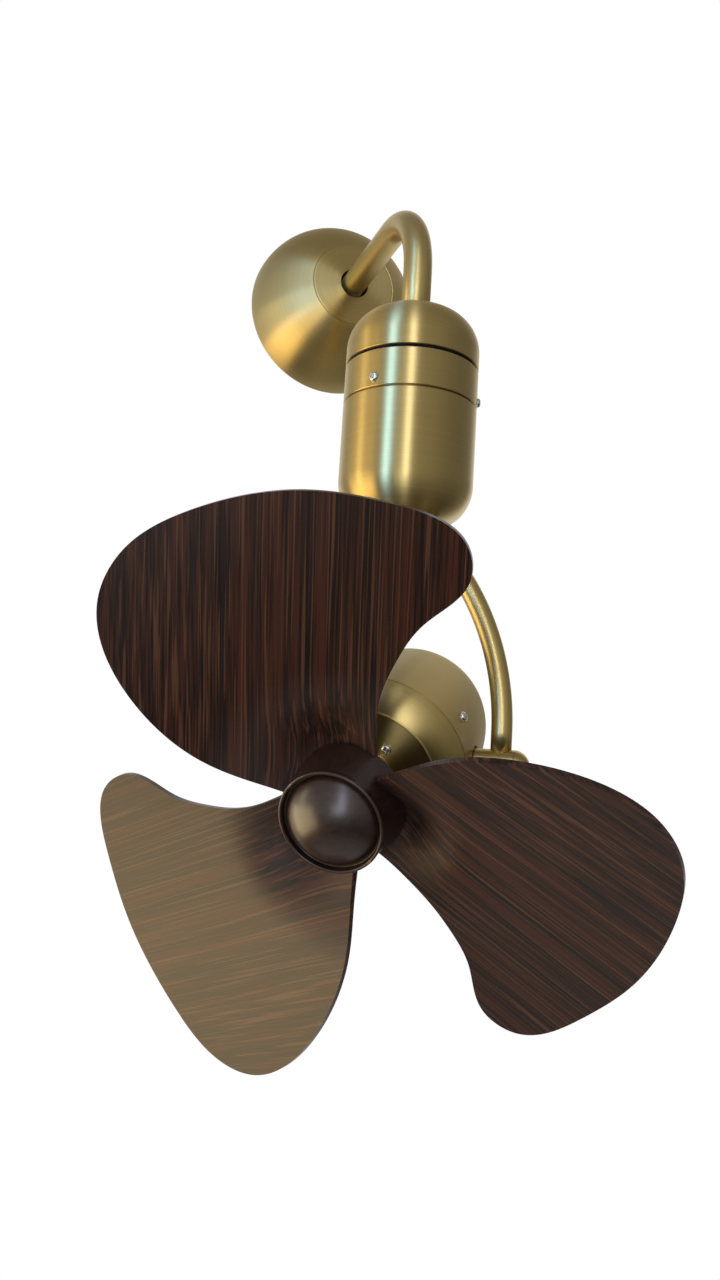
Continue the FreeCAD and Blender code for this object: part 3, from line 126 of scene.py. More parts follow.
def colour(red, green, blue):
    """The linear colour of eight-bit sRGB values."""
    shares = [value / 255 for value in (red, green, blue)]
    linear = [share / 12.92 if share <= 0.04045 else ((share + 0.055) / 1.055) ** 2.4 for share in shares]
    return linear + [1.0]


class Finish:
    """A material with its shader, and the place on the piece as the start of its shading."""

    def __init__(self, name, **fixed):
        self.material = bpy.data.materials.new(name)
        self.material.use_nodes = True
        self.tree = self.material.node_tree
        self.shader = self.tree.nodes["Principled BSDF"]
        for socket, value in fixed.items():
            self.shader.inputs[socket.replace("_", " ")].default_value = value
        spot = self.tree.nodes.new("ShaderNodeTexCoord")
        self.place = Shade(self.tree, spot.outputs["Object"])

    def feed(self, **sockets):
        """Links a shade to each of the shader's named sockets."""
        for socket, shade in sockets.items():
            self.tree.links.new(shade.socket, self.shader.inputs[socket.replace("_", " ")])

    def relief(self, height, depth):
        """Fine relief of the given depth in metres."""
        bump = height.node("ShaderNodeBump", {}, {"Strength": 1.0, "Distance": depth, "Height": height})
        self.feed(Normal=bump)

    def wear(self, node):
        """Puts the finish on a CAD node."""
        piece = frame["nodes"][node]
        piece.data.materials.clear()
        piece.data.materials.append(self.material)


def black_paint():
    """Black paint with a fine orange peel."""
    finish = Finish("black_paint")
    cloud = finish.place.noise(60.0, 3.0)
    finish.feed(Base_Color=cloud.blend(colour(34, 34, 33), colour(46, 45, 43)), Roughness=0.42 + 0.16 * cloud)
    finish.relief(finish.place.noise(900.0), depth=0.00006)
    return finish


black_paint().wear("wall_bracket")

# Steel works: spindle, bearings, gears, deck, posts and shafts, all turned, ground or stamped from steel.
# They sit inside the barrel, the yoke and the motor.


def bare_steel():
    """Steel with fine streaks from its making."""
    finish = Finish("bare_steel", Metallic=1.0)
    streak = finish.place.times((300.0, 300.0, 2600.0)).noise(1.0, 2.0)
    tone = streak.blend(colour(150, 152, 154), colour(196, 197, 198))
    finish.feed(Base_Color=tone, Roughness=0.26 + 0.2 * streak)
    finish.relief(streak, depth=0.00002)
    return finish


steel = bare_steel()
STEEL_NODES = (
    "collar_grub_screw", "cap_grub_screw", "swivel_spindle", "flange_screws", "spindle_gear", "gear_clip",
    "upper_bearing", "lower_bearing", "motor_deck", "deck_posts", "post_nuts", "swing_motor_screws",
    "yoke_stem", "drive_pinion", "front_bearing", "rear_bearing", "pivot_bolts", "motor_shaft", "hub_nut",
)
for label in STEEL_NODES:
    steel.wear(label)

# Castings and motor iron: the frame in the barrel is cast aluminium, the swing motor a zinc-plated can.
# The motor has stacks of stamped iron sheets with coils of varnished copper wire.


def cast_metal(name, dark, pale, coarse):
    """Metal with an even grain of a given scale."""
    finish = Finish(name, Metallic=1.0)
    grain = finish.place.noise(coarse, 4.0, 0.6)
    finish.feed(Base_Color=grain.blend(dark, pale), Roughness=0.42 + 0.25 * grain)
    finish.relief(grain, depth=0.0002)
    return finish


cast_metal("cast_aluminium", colour(140, 141, 142), colour(186, 187, 188), 700.0).wear("swivel_frame")
cast_metal("zinc_plate", colour(150, 152, 156), colour(196, 198, 200), 240.0).wear("swing_motor")
for label in ("stator_core", "rotor_core"):
    cast_metal("sheet_iron", colour(64, 64, 66), colour(98, 98, 100), 400.0).wear(label)
cast_metal("copper_wire", colour(120, 62, 36), colour(190, 108, 66), 900.0).wear("stator_windings")

# Wall canopy: a spun brass half ball with a ridge and a shallow cone round the neck's hole.
# It was brushed while it turned, so fine lines run round it, and one side screw holds it on the bracket.
JOINTS = {joint["name"]: joint for joint in frame["joints"]}
WALL = Matrix.Rotation(math.radians(90), 4, "X")


def arc(middle_radius, middle_height, radius, first, last, steps=40):
    """Points on a round stretch of an outline; angles in degrees from straight out."""
    points = []
    for step in range(steps + 1):
        angle = math.radians(first + (last - first) * step / steps)
        points.append((middle_radius + radius * math.cos(angle), middle_height + radius * math.sin(angle)))
    return points


def add_piece(name, corners, faces, place, finish, body, stands_for):
    """A visible piece from corners in millimetres, riding on a body."""
    mesh = bpy.data.meshes.new(name)
    mesh.from_pydata([tuple(value * MM for value in corner) for corner in corners], [], faces)
    mesh.validate()
    for polygon in mesh.polygons:
        polygon.use_smooth = True
    mesh.materials.append(finish.material)
    piece = bpy.data.objects.new(name, mesh)
    bpy.context.scene.collection.objects.link(piece)
    piece.matrix_world = place
    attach(piece, body)
    if stands_for:
        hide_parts(stands_for)
    return piece


def soften(piece, width, angle=25.0, segments=3):
    """Rounds the edges sharper than an angle by a width in millimetres."""
    edge = piece.modifiers.new("round_edges", "BEVEL")
    edge.width = width * MM
    edge.segments = segments
    edge.limit_method = "ANGLE"
    edge.angle_limit = math.radians(angle)
    piece.modifiers.new("even_normals", "WEIGHTED_NORMAL").keep_sharp = True


def turned(name, outline, place, finish, body, stands_for, turns=168):
    """Piece turned about the local Z of its place from a closed outline (radius, height)."""
    corners, rows = [], []
    for radius, height in outline:
        if radius < 1e-6:
            rows.append([len(corners)])
            corners.append((0.0, 0.0, height))
            continue
        rows.append([len(corners) + turn for turn in range(turns)])
        for turn in range(turns):
            angle = 2 * math.pi * turn / turns
            corners.append((radius * math.cos(angle), radius * math.sin(angle), height))
    faces = []
    for row, after in zip(rows, rows[1:] + rows[:1]):
        if len(row) == 1 and len(after) == 1:
            continue
        for turn in range(turns):
            follow = (turn + 1) % turns
            ring = [row[turn % len(row)], row[follow % len(row)],
                    after[follow % len(after)], after[turn % len(after)]]
            faces.append(list(dict.fromkeys(ring)))
    return add_piece(name, corners, faces, place, finish, body, stands_for)


BRASS_DARK = colour(178, 156, 98)
BRASS_PALE = colour(188, 165, 107)


def brushed_brass(name, spread, depth, rough, **fixed):
    """Satin brass; spread maps a place on the piece to lines that run along the brushing."""
    finish = Finish(name, Metallic=1.0, **fixed)
    lines = spread(finish.place)
    fine = lines.noise(1.0, 2.0)
    broad = lines.times((0.13, 0.13, 0.13)).noise(1.0, 3.0)
    cloud = finish.place.noise(26.0, 3.0)
    streak = 0.55 * fine + 0.3 * broad + 0.15 * cloud
    finish.feed(Base_Color=streak.between(0.3, 0.72).blend(BRASS_DARK, BRASS_PALE),
                Roughness=rough + 0.1 * streak)
    finish.relief(fine, depth)
    return finish


LINES_PER_METRE = 3400.0
LINE_BREAKS = 22.0


def round_lines(place):
    """Lines round the local Z axis, each a long arc."""
    across = place.times((1.0, 1.0, 0.0)).length()
    height = place.part(2)
    lines = place.node("ShaderNodeCombineXYZ", {},
                       {0: across * LINES_PER_METRE, 1: height * LINES_PER_METRE, 2: 0.0})
    return lines.plus(place.times((LINE_BREAKS, LINE_BREAKS, LINE_BREAKS)))


turned_brass = brushed_brass("turned_brass", round_lines, depth=0.000012, rough=0.33,
                             Anisotropic=0.92, Anisotropic_Rotation=0.25)
CANOPY_RADIUS = 76.5
CANOPY_WALL = 1.5
NOSE_RADIUS = 37.5
NOSE_RISE = 2.5
GROOVE_WIDTH = 1.4
GROOVE_FLOOR = 0.9
GROOVE_DEPTH = 0.5
GROOVE_RISE = 0.1
NECK_RADIUS = 10.5
NECK_PLAY = 2.1
NECK_HOLE = NECK_RADIUS + NECK_PLAY
nose_angle = math.degrees(math.acos(NOSE_RADIUS / CANOPY_RADIUS))
nose_height = CANOPY_RADIUS * math.sin(math.radians(nose_angle))
inside = CANOPY_RADIUS - CANOPY_WALL
inside_angle = math.degrees(math.acos(NOSE_RADIUS / inside))
inside_height = inside * math.sin(math.radians(inside_angle))
groove = [(NOSE_RADIUS - GROOVE_FLOOR, nose_height - GROOVE_DEPTH),
          (NOSE_RADIUS - GROOVE_WIDTH, nose_height + GROOVE_RISE)]
cone = [(NECK_HOLE, nose_height + NOSE_RISE), (NECK_HOLE, inside_height + NOSE_RISE)]
canopy = turned("canopy", arc(0, 0, CANOPY_RADIUS, 0, nose_angle) + groove + cone
                + arc(0, 0, inside, inside_angle, 0),
                WALL, turned_brass, "mount", "wall_canopy")
soften(canopy, width=0.5)

# Neck: a brass tube, brushed along its length. It leaves the bracket's collar level, bends down in a quarter
# turn and ends in the barrel's cap.
NECK_BEND = 60.0
NECK_REACH = -JOINTS["swing"]["pos_m"][1] / MM
NECK_END = 114.0
NECK_START = 4.0
BEND_STEPS = 40


def swept(name, way, radius, place, finish, body, stands_for, sides=48):
    """Round rod along a way in one plane of the local frame; each point has its direction."""
    corners, faces = [], []
    for (x, y, z), (run_x, run_z) in way:
        for side in range(sides):
            angle = 2 * math.pi * side / sides
            over = radius * math.cos(angle)
            corners.append((x - run_z * over, y + radius * math.sin(angle), z + run_x * over))
    for index in range(len(way) - 1):
        low, high = index * sides, (index + 1) * sides
        for side in range(sides):
            follow = (side + 1) % sides
            faces.append([low + side, low + follow, high + follow, high + side])
    faces.append(list(range(sides))[::-1])
    faces.append([len(corners) - sides + side for side in range(sides)])
    return add_piece(name, corners, faces, place, finish, body, stands_for)


def long_lines(place):
    """Lines along an upright rod."""
    return place.times((2600.0, 2600.0, 60.0))


rod_brass = brushed_brass("rod_brass", long_lines, depth=0.000002, rough=0.32)
TOWARDS_WALL = Matrix.Rotation(math.radians(-90), 4, "Z")
straight = NECK_REACH - NECK_BEND
neck_way = [((reach, 0, 0), (1, 0)) for reach in (NECK_START, straight / 2, straight)]
for step in range(1, BEND_STEPS + 1):
    angle = math.radians(90 * step / BEND_STEPS)
    neck_way.append(((straight + NECK_BEND * math.sin(angle), 0, NECK_BEND * (math.cos(angle) - 1)),
                     (math.cos(angle), -math.sin(angle))))
neck_way.append(((NECK_REACH, 0, -NECK_END), (0, -1)))
swept("neck", neck_way, NECK_RADIUS, TOWARDS_WALL, rod_brass, "mount", "neck_tube")

# Barrel: three spun brass shells that make one bullet, brushed round. The cap on top is fixed to the neck.
# Under the dark gap, the band and the long lower shell turn together.
BARREL_RADIUS = 48.0
BARREL_WALL = 2.2
BARREL_CORNER = 30.0
CAP_TOP = -94.5
CAP_BOTTOM = -136.3
CAP_FIT = 0.1
GAP = 2.3
BAND_HEIGHT = 27.2
SHELL_HEIGHT = 86.2
BAND_TOP = CAP_BOTTOM - GAP
BAND_BOTTOM = BAND_TOP - BAND_HEIGHT
SHELL_BOTTOM = BAND_BOTTOM - SHELL_HEIGHT
side = Vector(JOINTS["tilt"]["axis"])
swing_at = Vector(JOINTS["swing"]["pos_m"])
BARREL = Matrix.Translation((swing_at.x, swing_at.y, 0)) @ Matrix.Rotation(math.atan2(side.y, side.x), 4, "Z")
barrel_inside = BARREL_RADIUS - BARREL_WALL
corner_middle = BARREL_RADIUS - BARREL_CORNER
cap_hole = NECK_RADIUS + CAP_FIT
cap = turned("swivel_top", [(cap_hole, CAP_TOP)]
             + arc(corner_middle, CAP_TOP - BARREL_CORNER, BARREL_CORNER, 90, 0)
             + [(BARREL_RADIUS, CAP_BOTTOM), (barrel_inside, CAP_BOTTOM)]
             + arc(corner_middle, CAP_TOP - BARREL_CORNER, BARREL_CORNER - BARREL_WALL, 0, 90)
             + [(cap_hole, CAP_TOP - BARREL_WALL)],
             BARREL, turned_brass, "mount", "swivel_cap")
soften(cap, width=0.6)

# Shade ring: a strip glued inside the cap's rim, coloured near black as painted shade for the dark gap.
# It closes the gap above the turning band and only just clears it.
SHADE_RING_WALL = 1.6
SHADE_RING_RISE = 3.0
SHADE_RING_PLAY = 0.12
GLUE = 0.05
# Painted shade: a near-black colour with a fine grain, standing for the shade inside the gap.
gap_shade = Finish("painted_gap_shade", Roughness=0.95, Specular_IOR_Level=0.2)
gap_shade_grain = gap_shade.place.noise(900.0, 3.0, 0.6)
gap_shade.feed(Base_Color=gap_shade_grain.between(0.3, 0.7).blend(colour(10, 9, 8), colour(30, 27, 24)))
gap_shade.relief(gap_shade_grain, depth=0.00005)
shade_ring_outside = barrel_inside - GLUE
shade_ring_inside = shade_ring_outside - SHADE_RING_WALL
turned("gap_shade_ring", [(shade_ring_inside, CAP_BOTTOM + SHADE_RING_RISE), (shade_ring_outside, CAP_BOTTOM + SHADE_RING_RISE),
                    (shade_ring_outside, BAND_TOP + SHADE_RING_PLAY), (shade_ring_inside, BAND_TOP + SHADE_RING_PLAY)],
       BARREL, gap_shade, "mount", None)

# Band and lower shell: the turning part of the barrel, spun from brass and brushed round.
# The shell's spigot stands inside the band, where three screws hold it.
SEAM = 0.5
LIP_RADIUS = 34.0
LIP = 2.6
STEM_HOLE = 5.1
SPIGOT = 14.0
SPIGOT_FIT = 0.1
band_outside = [(LIP_RADIUS, BAND_TOP), (BARREL_RADIUS, BAND_TOP), (BARREL_RADIUS, BAND_BOTTOM + SEAM)]
band_inside = [(barrel_inside, BAND_BOTTOM + SEAM), (barrel_inside, BAND_TOP - LIP),
               (LIP_RADIUS, BAND_TOP - LIP)]
band = turned("swivel_band", band_outside + band_inside,
              BARREL, turned_brass, "swivel", "swivel_ring")
soften(band, width=0.9)
shell_inside = barrel_inside - BARREL_WALL
spigot_outside = barrel_inside - SPIGOT_FIT
shell_corner = SHELL_BOTTOM + BARREL_CORNER
spigot = [(shell_inside, BAND_BOTTOM + SPIGOT), (spigot_outside, BAND_BOTTOM + SPIGOT),
          (spigot_outside, BAND_BOTTOM - SEAM), (BARREL_RADIUS, BAND_BOTTOM - SEAM)]
shell = turned("barrel_bullet", spigot
               + arc(corner_middle, shell_corner, BARREL_CORNER, 0, -90)
               + [(STEM_HOLE, SHELL_BOTTOM), (STEM_HOLE, SHELL_BOTTOM + BARREL_WALL)]
               + arc(corner_middle, shell_corner, BARREL_CORNER - 2 * BARREL_WALL, -90, 0),
               BARREL, turned_brass, "swivel", "barrel_shell")
soften(shell, width=0.9)

# Yoke: a round brass boss under the barrel, and two curved rods from it down to the pivot bosses of the head.
# The rods are brushed along their length and brazed into the bosses.
PIVOT_LEVEL = JOINTS["tilt"]["pos_m"][2] / MM
BOSS_RADIUS = 22.0
BOSS_HEIGHT = 24.0
BOSS_CORNER = 12.0
STEM_DEPTH = 14.0
boss = turned("yoke_boss", [(STEM_HOLE, SHELL_BOTTOM), (BOSS_RADIUS, SHELL_BOTTOM)]
              + arc(BOSS_RADIUS - BOSS_CORNER, SHELL_BOTTOM - BOSS_HEIGHT + BOSS_CORNER, BOSS_CORNER, 0, -90)
              + [(0, SHELL_BOTTOM - BOSS_HEIGHT), (0, SHELL_BOTTOM - STEM_DEPTH),
                 (STEM_HOLE, SHELL_BOTTOM - STEM_DEPTH)],
              BARREL, turned_brass, "swivel", "yoke_hub")
soften(boss, width=0.8)
ARM_RADIUS = 7.0
ARM_OFFSET = 77.5
ARM_STRAIGHT = 23.0
ARM_BEND = 185.0
ARM_END = 19.0
ARM_SEAT = 8.0
arm_way = [((ARM_OFFSET, 0, PIVOT_LEVEL + ARM_SEAT), (0, 1))]
bend_middle = ARM_OFFSET - ARM_BEND
arm_sweep = math.acos((ARM_END - bend_middle) / ARM_BEND)
for step in range(BEND_STEPS + 1):
    angle = arm_sweep * step / BEND_STEPS
    arm_way.append(((bend_middle + ARM_BEND * math.cos(angle), 0,
                     PIVOT_LEVEL + ARM_STRAIGHT + ARM_BEND * math.sin(angle)),
                    (-math.sin(angle), math.cos(angle))))
HALF_TURN = Matrix.Rotation(math.pi, 4, "Z")
SIDES = {"right": BARREL, "left": BARREL @ HALF_TURN}
for label, place in SIDES.items():
    swept(f"arm_{label}", arm_way, ARM_RADIUS, place, rod_brass, "swivel", f"yoke_arm_{label}")

# Pivot bosses: turned brass knuckles at the feet of the rods, closed by pressed domed caps.
# A black friction washer between each one and the motor keeps the head where it is tilted.
KNUCKLE_RADIUS = 11.0
KNUCKLE_INNER = 60.7
KNUCKLE_LENGTH = 27.3
KNUCKLE_OUTER = KNUCKLE_INNER + KNUCKLE_LENGTH
KNUCKLE_TURNS = 96
PIVOT_RADIUS = 4.05
RECESS_RADIUS = 7.5
RECESS_DEPTH = 8.0
CAP_DOME = 9.0
DOME_STEPS = 24
DOME_LIFT = 0.1
PLUG_LENGTH = 1.5
PLUG_FIT = 0.1
PIVOT = Matrix.Translation((0, 0, PIVOT_LEVEL * MM)) @ Matrix.Rotation(math.radians(90), 4, "Y")
recess_floor = KNUCKLE_OUTER - RECESS_DEPTH
plug_radius = RECESS_RADIUS - PLUG_FIT
dome_radius = (KNUCKLE_RADIUS ** 2 + CAP_DOME ** 2) / (2 * CAP_DOME)
dome_angle = math.degrees(math.asin((dome_radius - CAP_DOME) / dome_radius))
for label, place in SIDES.items():
    knuckle = turned(f"pivot_boss_{label}",
                     [(PIVOT_RADIUS, KNUCKLE_INNER), (KNUCKLE_RADIUS, KNUCKLE_INNER),
                      (KNUCKLE_RADIUS, KNUCKLE_OUTER), (RECESS_RADIUS, KNUCKLE_OUTER),
                      (RECESS_RADIUS, recess_floor), (PIVOT_RADIUS, recess_floor)],
                     place @ PIVOT, turned_brass, "swivel", f"knuckle_{label}", KNUCKLE_TURNS)
    soften(knuckle, width=0.7)
    dome = turned(f"pivot_dome_{label}",
                  [(0, KNUCKLE_OUTER - PLUG_LENGTH), (plug_radius, KNUCKLE_OUTER - PLUG_LENGTH),
                   (plug_radius, KNUCKLE_OUTER + DOME_LIFT)]
                  + arc(0, KNUCKLE_OUTER + CAP_DOME - dome_radius, dome_radius, dome_angle, 90, DOME_STEPS),
                  place @ PIVOT, turned_brass, "swivel", "knuckle_caps", KNUCKLE_TURNS)
    soften(dome, width=0.4)


def black_rubber():
    """Matt black rubber with a fine grit."""
    finish = Finish("friction_disc", Specular_IOR_Level=0.3)
    grit = finish.place.noise(1400.0, 3.0)
    finish.feed(Base_Color=grit.blend(colour(16, 15, 14), colour(32, 30, 28)), Roughness=0.6 + 0.25 * grit)
    finish.relief(grit, depth=0.0001)
    return finish


black_rubber().wear("friction_washers")

# Motor covers: a deep spun bullet behind and a convex shoulder ring in front, both of brushed brass.
# A thin ridge runs round the flat front plate. Three screws hold the shoulder's spigot in the bullet, and
# three more the plate.
MOUTH = 22.8
MOUTH_RADIUS = 61.5
DOME_RADIUS = 55.8
DOME_SETBACK = 68.0
COVER_WALL = 2.5
COVER_SEAM = 0.15
AIR = Vector(JOINTS["spin"]["axis"])
head_turn = Matrix((side, AIR.cross(side), AIR)).transposed().to_4x4()
HEAD = Matrix.Translation(JOINTS["spin"]["pos_m"]) @ head_turn
bow = (MOUTH_RADIUS ** 2 + DOME_SETBACK ** 2 - DOME_RADIUS ** 2) / (2 * (MOUTH_RADIUS - DOME_RADIUS))
bow_angle = math.degrees(math.atan2(-DOME_SETBACK, bow - MOUTH_RADIUS))
dome_height = MOUTH - DOME_SETBACK
rear = turned("motor_bullet", arc(MOUTH_RADIUS - bow, MOUTH - COVER_SEAM, bow, 0, bow_angle)
              + arc(0, dome_height, DOME_RADIUS, bow_angle, -90)[1:]
              + arc(0, dome_height, DOME_RADIUS - COVER_WALL, -90, bow_angle)
              + arc(MOUTH_RADIUS - bow, MOUTH - COVER_SEAM, bow - COVER_WALL, bow_angle, 0)[1:],
              HEAD, turned_brass, "head", "motor_rear_cover")
AXIS_RISE = 7.2
WASHER_SEAT = 58.5
SPOT_RADIUS = 13.0
MILL_LENGTH = 40.0


def spot_faced(piece):
    """Flats for the friction washers, milled into both sides of the piece."""
    for label, turn in (("right", Matrix.Identity(4)), ("left", HALF_TURN)):
        bpy.ops.mesh.primitive_cylinder_add(vertices=64, radius=SPOT_RADIUS * MM, depth=MILL_LENGTH * MM)
        mill = bpy.context.active_object
        mill.matrix_world = (HEAD @ Matrix.Translation((0, -AXIS_RISE * MM, 0)) @ turn
                             @ Matrix.Translation(((WASHER_SEAT + MILL_LENGTH / 2) * MM, 0, 0))
                             @ Matrix.Rotation(math.radians(90), 4, "Y"))
        milled = piece.modifiers.new(f"flat_{label}", "BOOLEAN")
        milled.operation = "DIFFERENCE"
        milled.object = mill
        bpy.context.view_layer.update()
        shape = bpy.data.meshes.new_from_object(piece.evaluated_get(bpy.context.evaluated_depsgraph_get()))
        piece.modifiers.clear()
        piece.data = shape
        bpy.data.objects.remove(mill)


spot_faced(rear)
soften(rear, width=0.5)
SHOULDER = 17.9
SHOULDER_CURVE = 30.0
SHOULDER_WALL = 4.0
FACE_RADIUS = 45.6
FACE = MOUTH + SHOULDER
RIDGE = 1.5
RIDGE_START = 40
PLATE_SETBACK = 1.2
PLATE_THICKNESS = 3.0
PLATE_FIT = 0.1
PLATE = FACE - PLATE_SETBACK
PLATE_BACK = PLATE - PLATE_THICKNESS
LEDGE = 2.0
LEDGE_WALL = 2.5
ridge_inside = FACE_RADIUS - RIDGE
ledge_inside = ridge_inside - LEDGE
ledge_back = PLATE_BACK - LEDGE_WALL
chord = math.hypot(MOUTH_RADIUS - FACE_RADIUS, SHOULDER)
lean = math.degrees(math.atan2(SHOULDER, FACE_RADIUS - MOUTH_RADIUS)) - 90
half = math.degrees(math.asin(chord / 2 / SHOULDER_CURVE))
reach = SHOULDER_CURVE * math.cos(math.radians(half))
curve_radius = (MOUTH_RADIUS + FACE_RADIUS) / 2 - reach * math.cos(math.radians(lean))
curve_height = (MOUTH + FACE) / 2 - reach * math.sin(math.radians(lean))
front = turned("motor_shoulder", [(MOUTH_RADIUS - SHOULDER_WALL, MOUTH + COVER_SEAM)]
               + arc(curve_radius, curve_height, SHOULDER_CURVE, lean - half, lean + half)
               + arc(FACE_RADIUS - RIDGE / 2, FACE, RIDGE / 2, RIDGE_START, 180)
               + [(ridge_inside, PLATE_BACK), (ledge_inside, PLATE_BACK),
                  (ledge_inside, ledge_back), (ridge_inside, ledge_back)],
               HEAD, turned_brass, "head", "motor_front_cover")
soften(front, width=0.5)
BEARING_BOSS = 16.0
BEARING_RADIUS = 11.0
BEARING_DEPTH = 8.0
SHAFT_CLEAR = 8.0
BOSS_RISE = 12.0
BOSS_FRONT = PLATE + BOSS_RISE
bearing_seat = BOSS_FRONT - BEARING_DEPTH
plate_edge = ridge_inside - PLATE_FIT
plate = turned("motor_plate", [(SHAFT_CLEAR, PLATE_BACK), (plate_edge, PLATE_BACK), (plate_edge, PLATE),
                               (BEARING_BOSS, PLATE), (BEARING_BOSS, BOSS_FRONT),
                               (BEARING_RADIUS, BOSS_FRONT), (BEARING_RADIUS, bearing_seat),
                               (SHAFT_CLEAR, bearing_seat)],
               HEAD, turned_brass, "head", "front_plate")
soften(plate, width=0.5)

# Hub: a moulded drum with a raised front rim and a flange behind, lacquered dark brown to go with the blades.
# The blades are screwed to its back, and a glossy domed cap hides the nut on the shaft.


def brown_lacquer(name, gloss, **fixed):
    """Dark brown lacquer with a faint grain under it; its sharp edges are painted paler as a painted
    highlight.
    """
    finish = Finish(name, **fixed)
    grain = finish.place.times((0.7, 1.0, 0.2)).noise(420.0, 3.0, 0.6)
    cloud = finish.place.noise(45.0, 2.0)
    edge = finish.place.node("ShaderNodeNewGeometry", {}, {}, "Pointiness")
    tone = (0.55 * grain + 0.45 * cloud).between(0.32, 0.68).blend(colour(26, 12, 8), colour(48, 28, 21))
    # Painted highlight: the sharp edges are blended towards a pale brown, standing for the light that the
    # rims catch.
    painted_edge_highlight = edge.between(0.53, 0.6) * 0.7
    finish.feed(Base_Color=painted_edge_highlight.blend(tone, colour(112, 88, 72)), Roughness=gloss + 0.12 * grain)
    finish.relief(grain, depth=0.00001)
    return finish


HUB_BACK = 72.2
HUB_HEIGHT = 36.3
HUB_FRONT = HUB_BACK + HUB_HEIGHT
HUB_PLAY = 1.5
HUB_NECK = 11.0
SHAFT_HOLE = 5.1
BACK_RADIUS = 33.0
FLANGE_RADIUS = 37.4
FLANGE_BEVEL = 3.0
FLANGE_FRONT = 5.0
HUB_WAIST = 32.0
RIM_RADIUS = 33.4
RIM_INNER = 31.2
RIM_FOOT = 5.0
RIM_EDGE = 2.5
RIM_HEIGHT = 4.5
HUB_FACE = HUB_FRONT - RIM_HEIGHT
POCKET_RADIUS = 15.0
POCKET_DEPTH = 12.0
hub_rear = BOSS_FRONT + HUB_PLAY
pocket_floor = HUB_FACE - POCKET_DEPTH
hub = turned("hub_drum", [(SHAFT_HOLE, hub_rear), (HUB_NECK, hub_rear), (HUB_NECK, HUB_BACK),
                          (BACK_RADIUS, HUB_BACK), (FLANGE_RADIUS, HUB_BACK + FLANGE_BEVEL),
                          (FLANGE_RADIUS, HUB_BACK + FLANGE_FRONT), (HUB_WAIST, HUB_FRONT - RIM_FOOT),
                          (RIM_RADIUS, HUB_FRONT - RIM_EDGE), (RIM_RADIUS, HUB_FRONT),
                          (RIM_INNER, HUB_FRONT), (RIM_INNER, HUB_FACE), (POCKET_RADIUS, HUB_FACE),
                          (POCKET_RADIUS, pocket_floor), (SHAFT_HOLE, pocket_floor)],
             HEAD, brown_lacquer("hub_lacquer", 0.36, Coat_Weight=0.15), "rotor", "blade_hub")
soften(hub, width=1.0)
SPINNER_RADIUS = 29.9
SPINNER_HEIGHT = 17.0
SPINNER_WALL = 3.0
SPINNER_BORE = 11.9
SPINNER_PLUG = 14.9
SPINNER_SEAT = 3.0
spinner_curve = (SPINNER_RADIUS ** 2 + SPINNER_HEIGHT ** 2) / (2 * SPINNER_HEIGHT)
spinner_angle = math.degrees(math.asin((spinner_curve - SPINNER_HEIGHT) / spinner_curve))
spinner_top = HUB_FACE + SPINNER_HEIGHT
plug_back = HUB_FACE - SPINNER_SEAT
spinner = turned("spinner", [(SPINNER_BORE, plug_back), (SPINNER_PLUG, plug_back), (SPINNER_PLUG, HUB_FACE)]
                 + arc(0, spinner_top - spinner_curve, spinner_curve, spinner_angle, 90)
                 + [(0, spinner_top - SPINNER_WALL), (SPINNER_BORE, spinner_top - 2 * SPINNER_WALL)],
                 HEAD, brown_lacquer("spinner_lacquer", 0.28, Coat_Weight=0.5, Coat_Roughness=0.28),
                 "rotor", "spinner_cap")
soften(spinner, width=0.8)

# Blades: three thin paddles of board, bowed, pitched and twisted, with a round leading edge and a hooked tip.
# They are wrapped in dark walnut film with straight grain along the blade, and screwed to the hub's back.
TRAILING = ((-5.9, -9.8), (61.4, -16.7), (98.7, -27.7), (120, -40.7), (149.3, -65.7), (165.4, -64.3),
            (189.4, -15.3), (192.2, 32.2))
LEADING = ((176.4, 92.3), (157.5, 121.6), (128.4, 137.4), (67.3, 120.9), (27.9, 81.4), (10.5, 44.8))
BLADE_TIP = TRAILING[-1][0]
BLADE_CREST = LEADING[2][1]
BLADE_LIFT = 12.9
BLADE_LEVEL = HUB_BACK + BLADE_LIFT
BLADE_PITCH = math.tan(math.radians(14))
BLADE_BOW = 10.5
BLADE_WASH = -20.9
TWIST_STATION = 109.0
BLADE_THICKNESS = 4.0
BLADE_ROOT = 24.0
BLADE_FIRST = 81.85
THIRDS = (0, 120, 240)
SEAT = (32.0, 9.0)
SEAT_SPREAD = 18.5


def smooth_loop(points, steps, rounds=200):
    """Closed smooth curve through points, even in the distance between them, as lists for each stretch."""
    count = len(points)
    spans = [math.dist(points[index], points[(index + 1) % count]) for index in range(count)]
    slopes = [[0.0, 0.0] for _ in range(count)]
    for _ in range(rounds):
        for index in range(count):
            before, after = points[index - 1], points[(index + 1) % count]
            behind, ahead = spans[index - 1], spans[index]
            for axis in (0, 1):
                rise = 3 * ((points[index][axis] - before[axis]) * ahead / behind
                            + (after[axis] - points[index][axis]) * behind / ahead)
                slopes[index][axis] = (rise - ahead * slopes[index - 1][axis]
                                       - behind * slopes[(index + 1) % count][axis]) / (2 * (behind + ahead))
    stretches = []
    for index in range(count):
        follow, span = (index + 1) % count, spans[index]
        stretch = []
        for step in range(steps):
            t = step / steps
            stretch.append(tuple(
                (1 + 2 * t) * (1 - t) ** 2 * points[index][axis]
                + t * (1 - t) ** 2 * span * slopes[index][axis]
                + t * t * (3 - 2 * t) * points[follow][axis]
                + t * t * (t - 1) * span * slopes[follow][axis]
                for axis in (0, 1)))
        stretches.append(stretch)
    return stretches


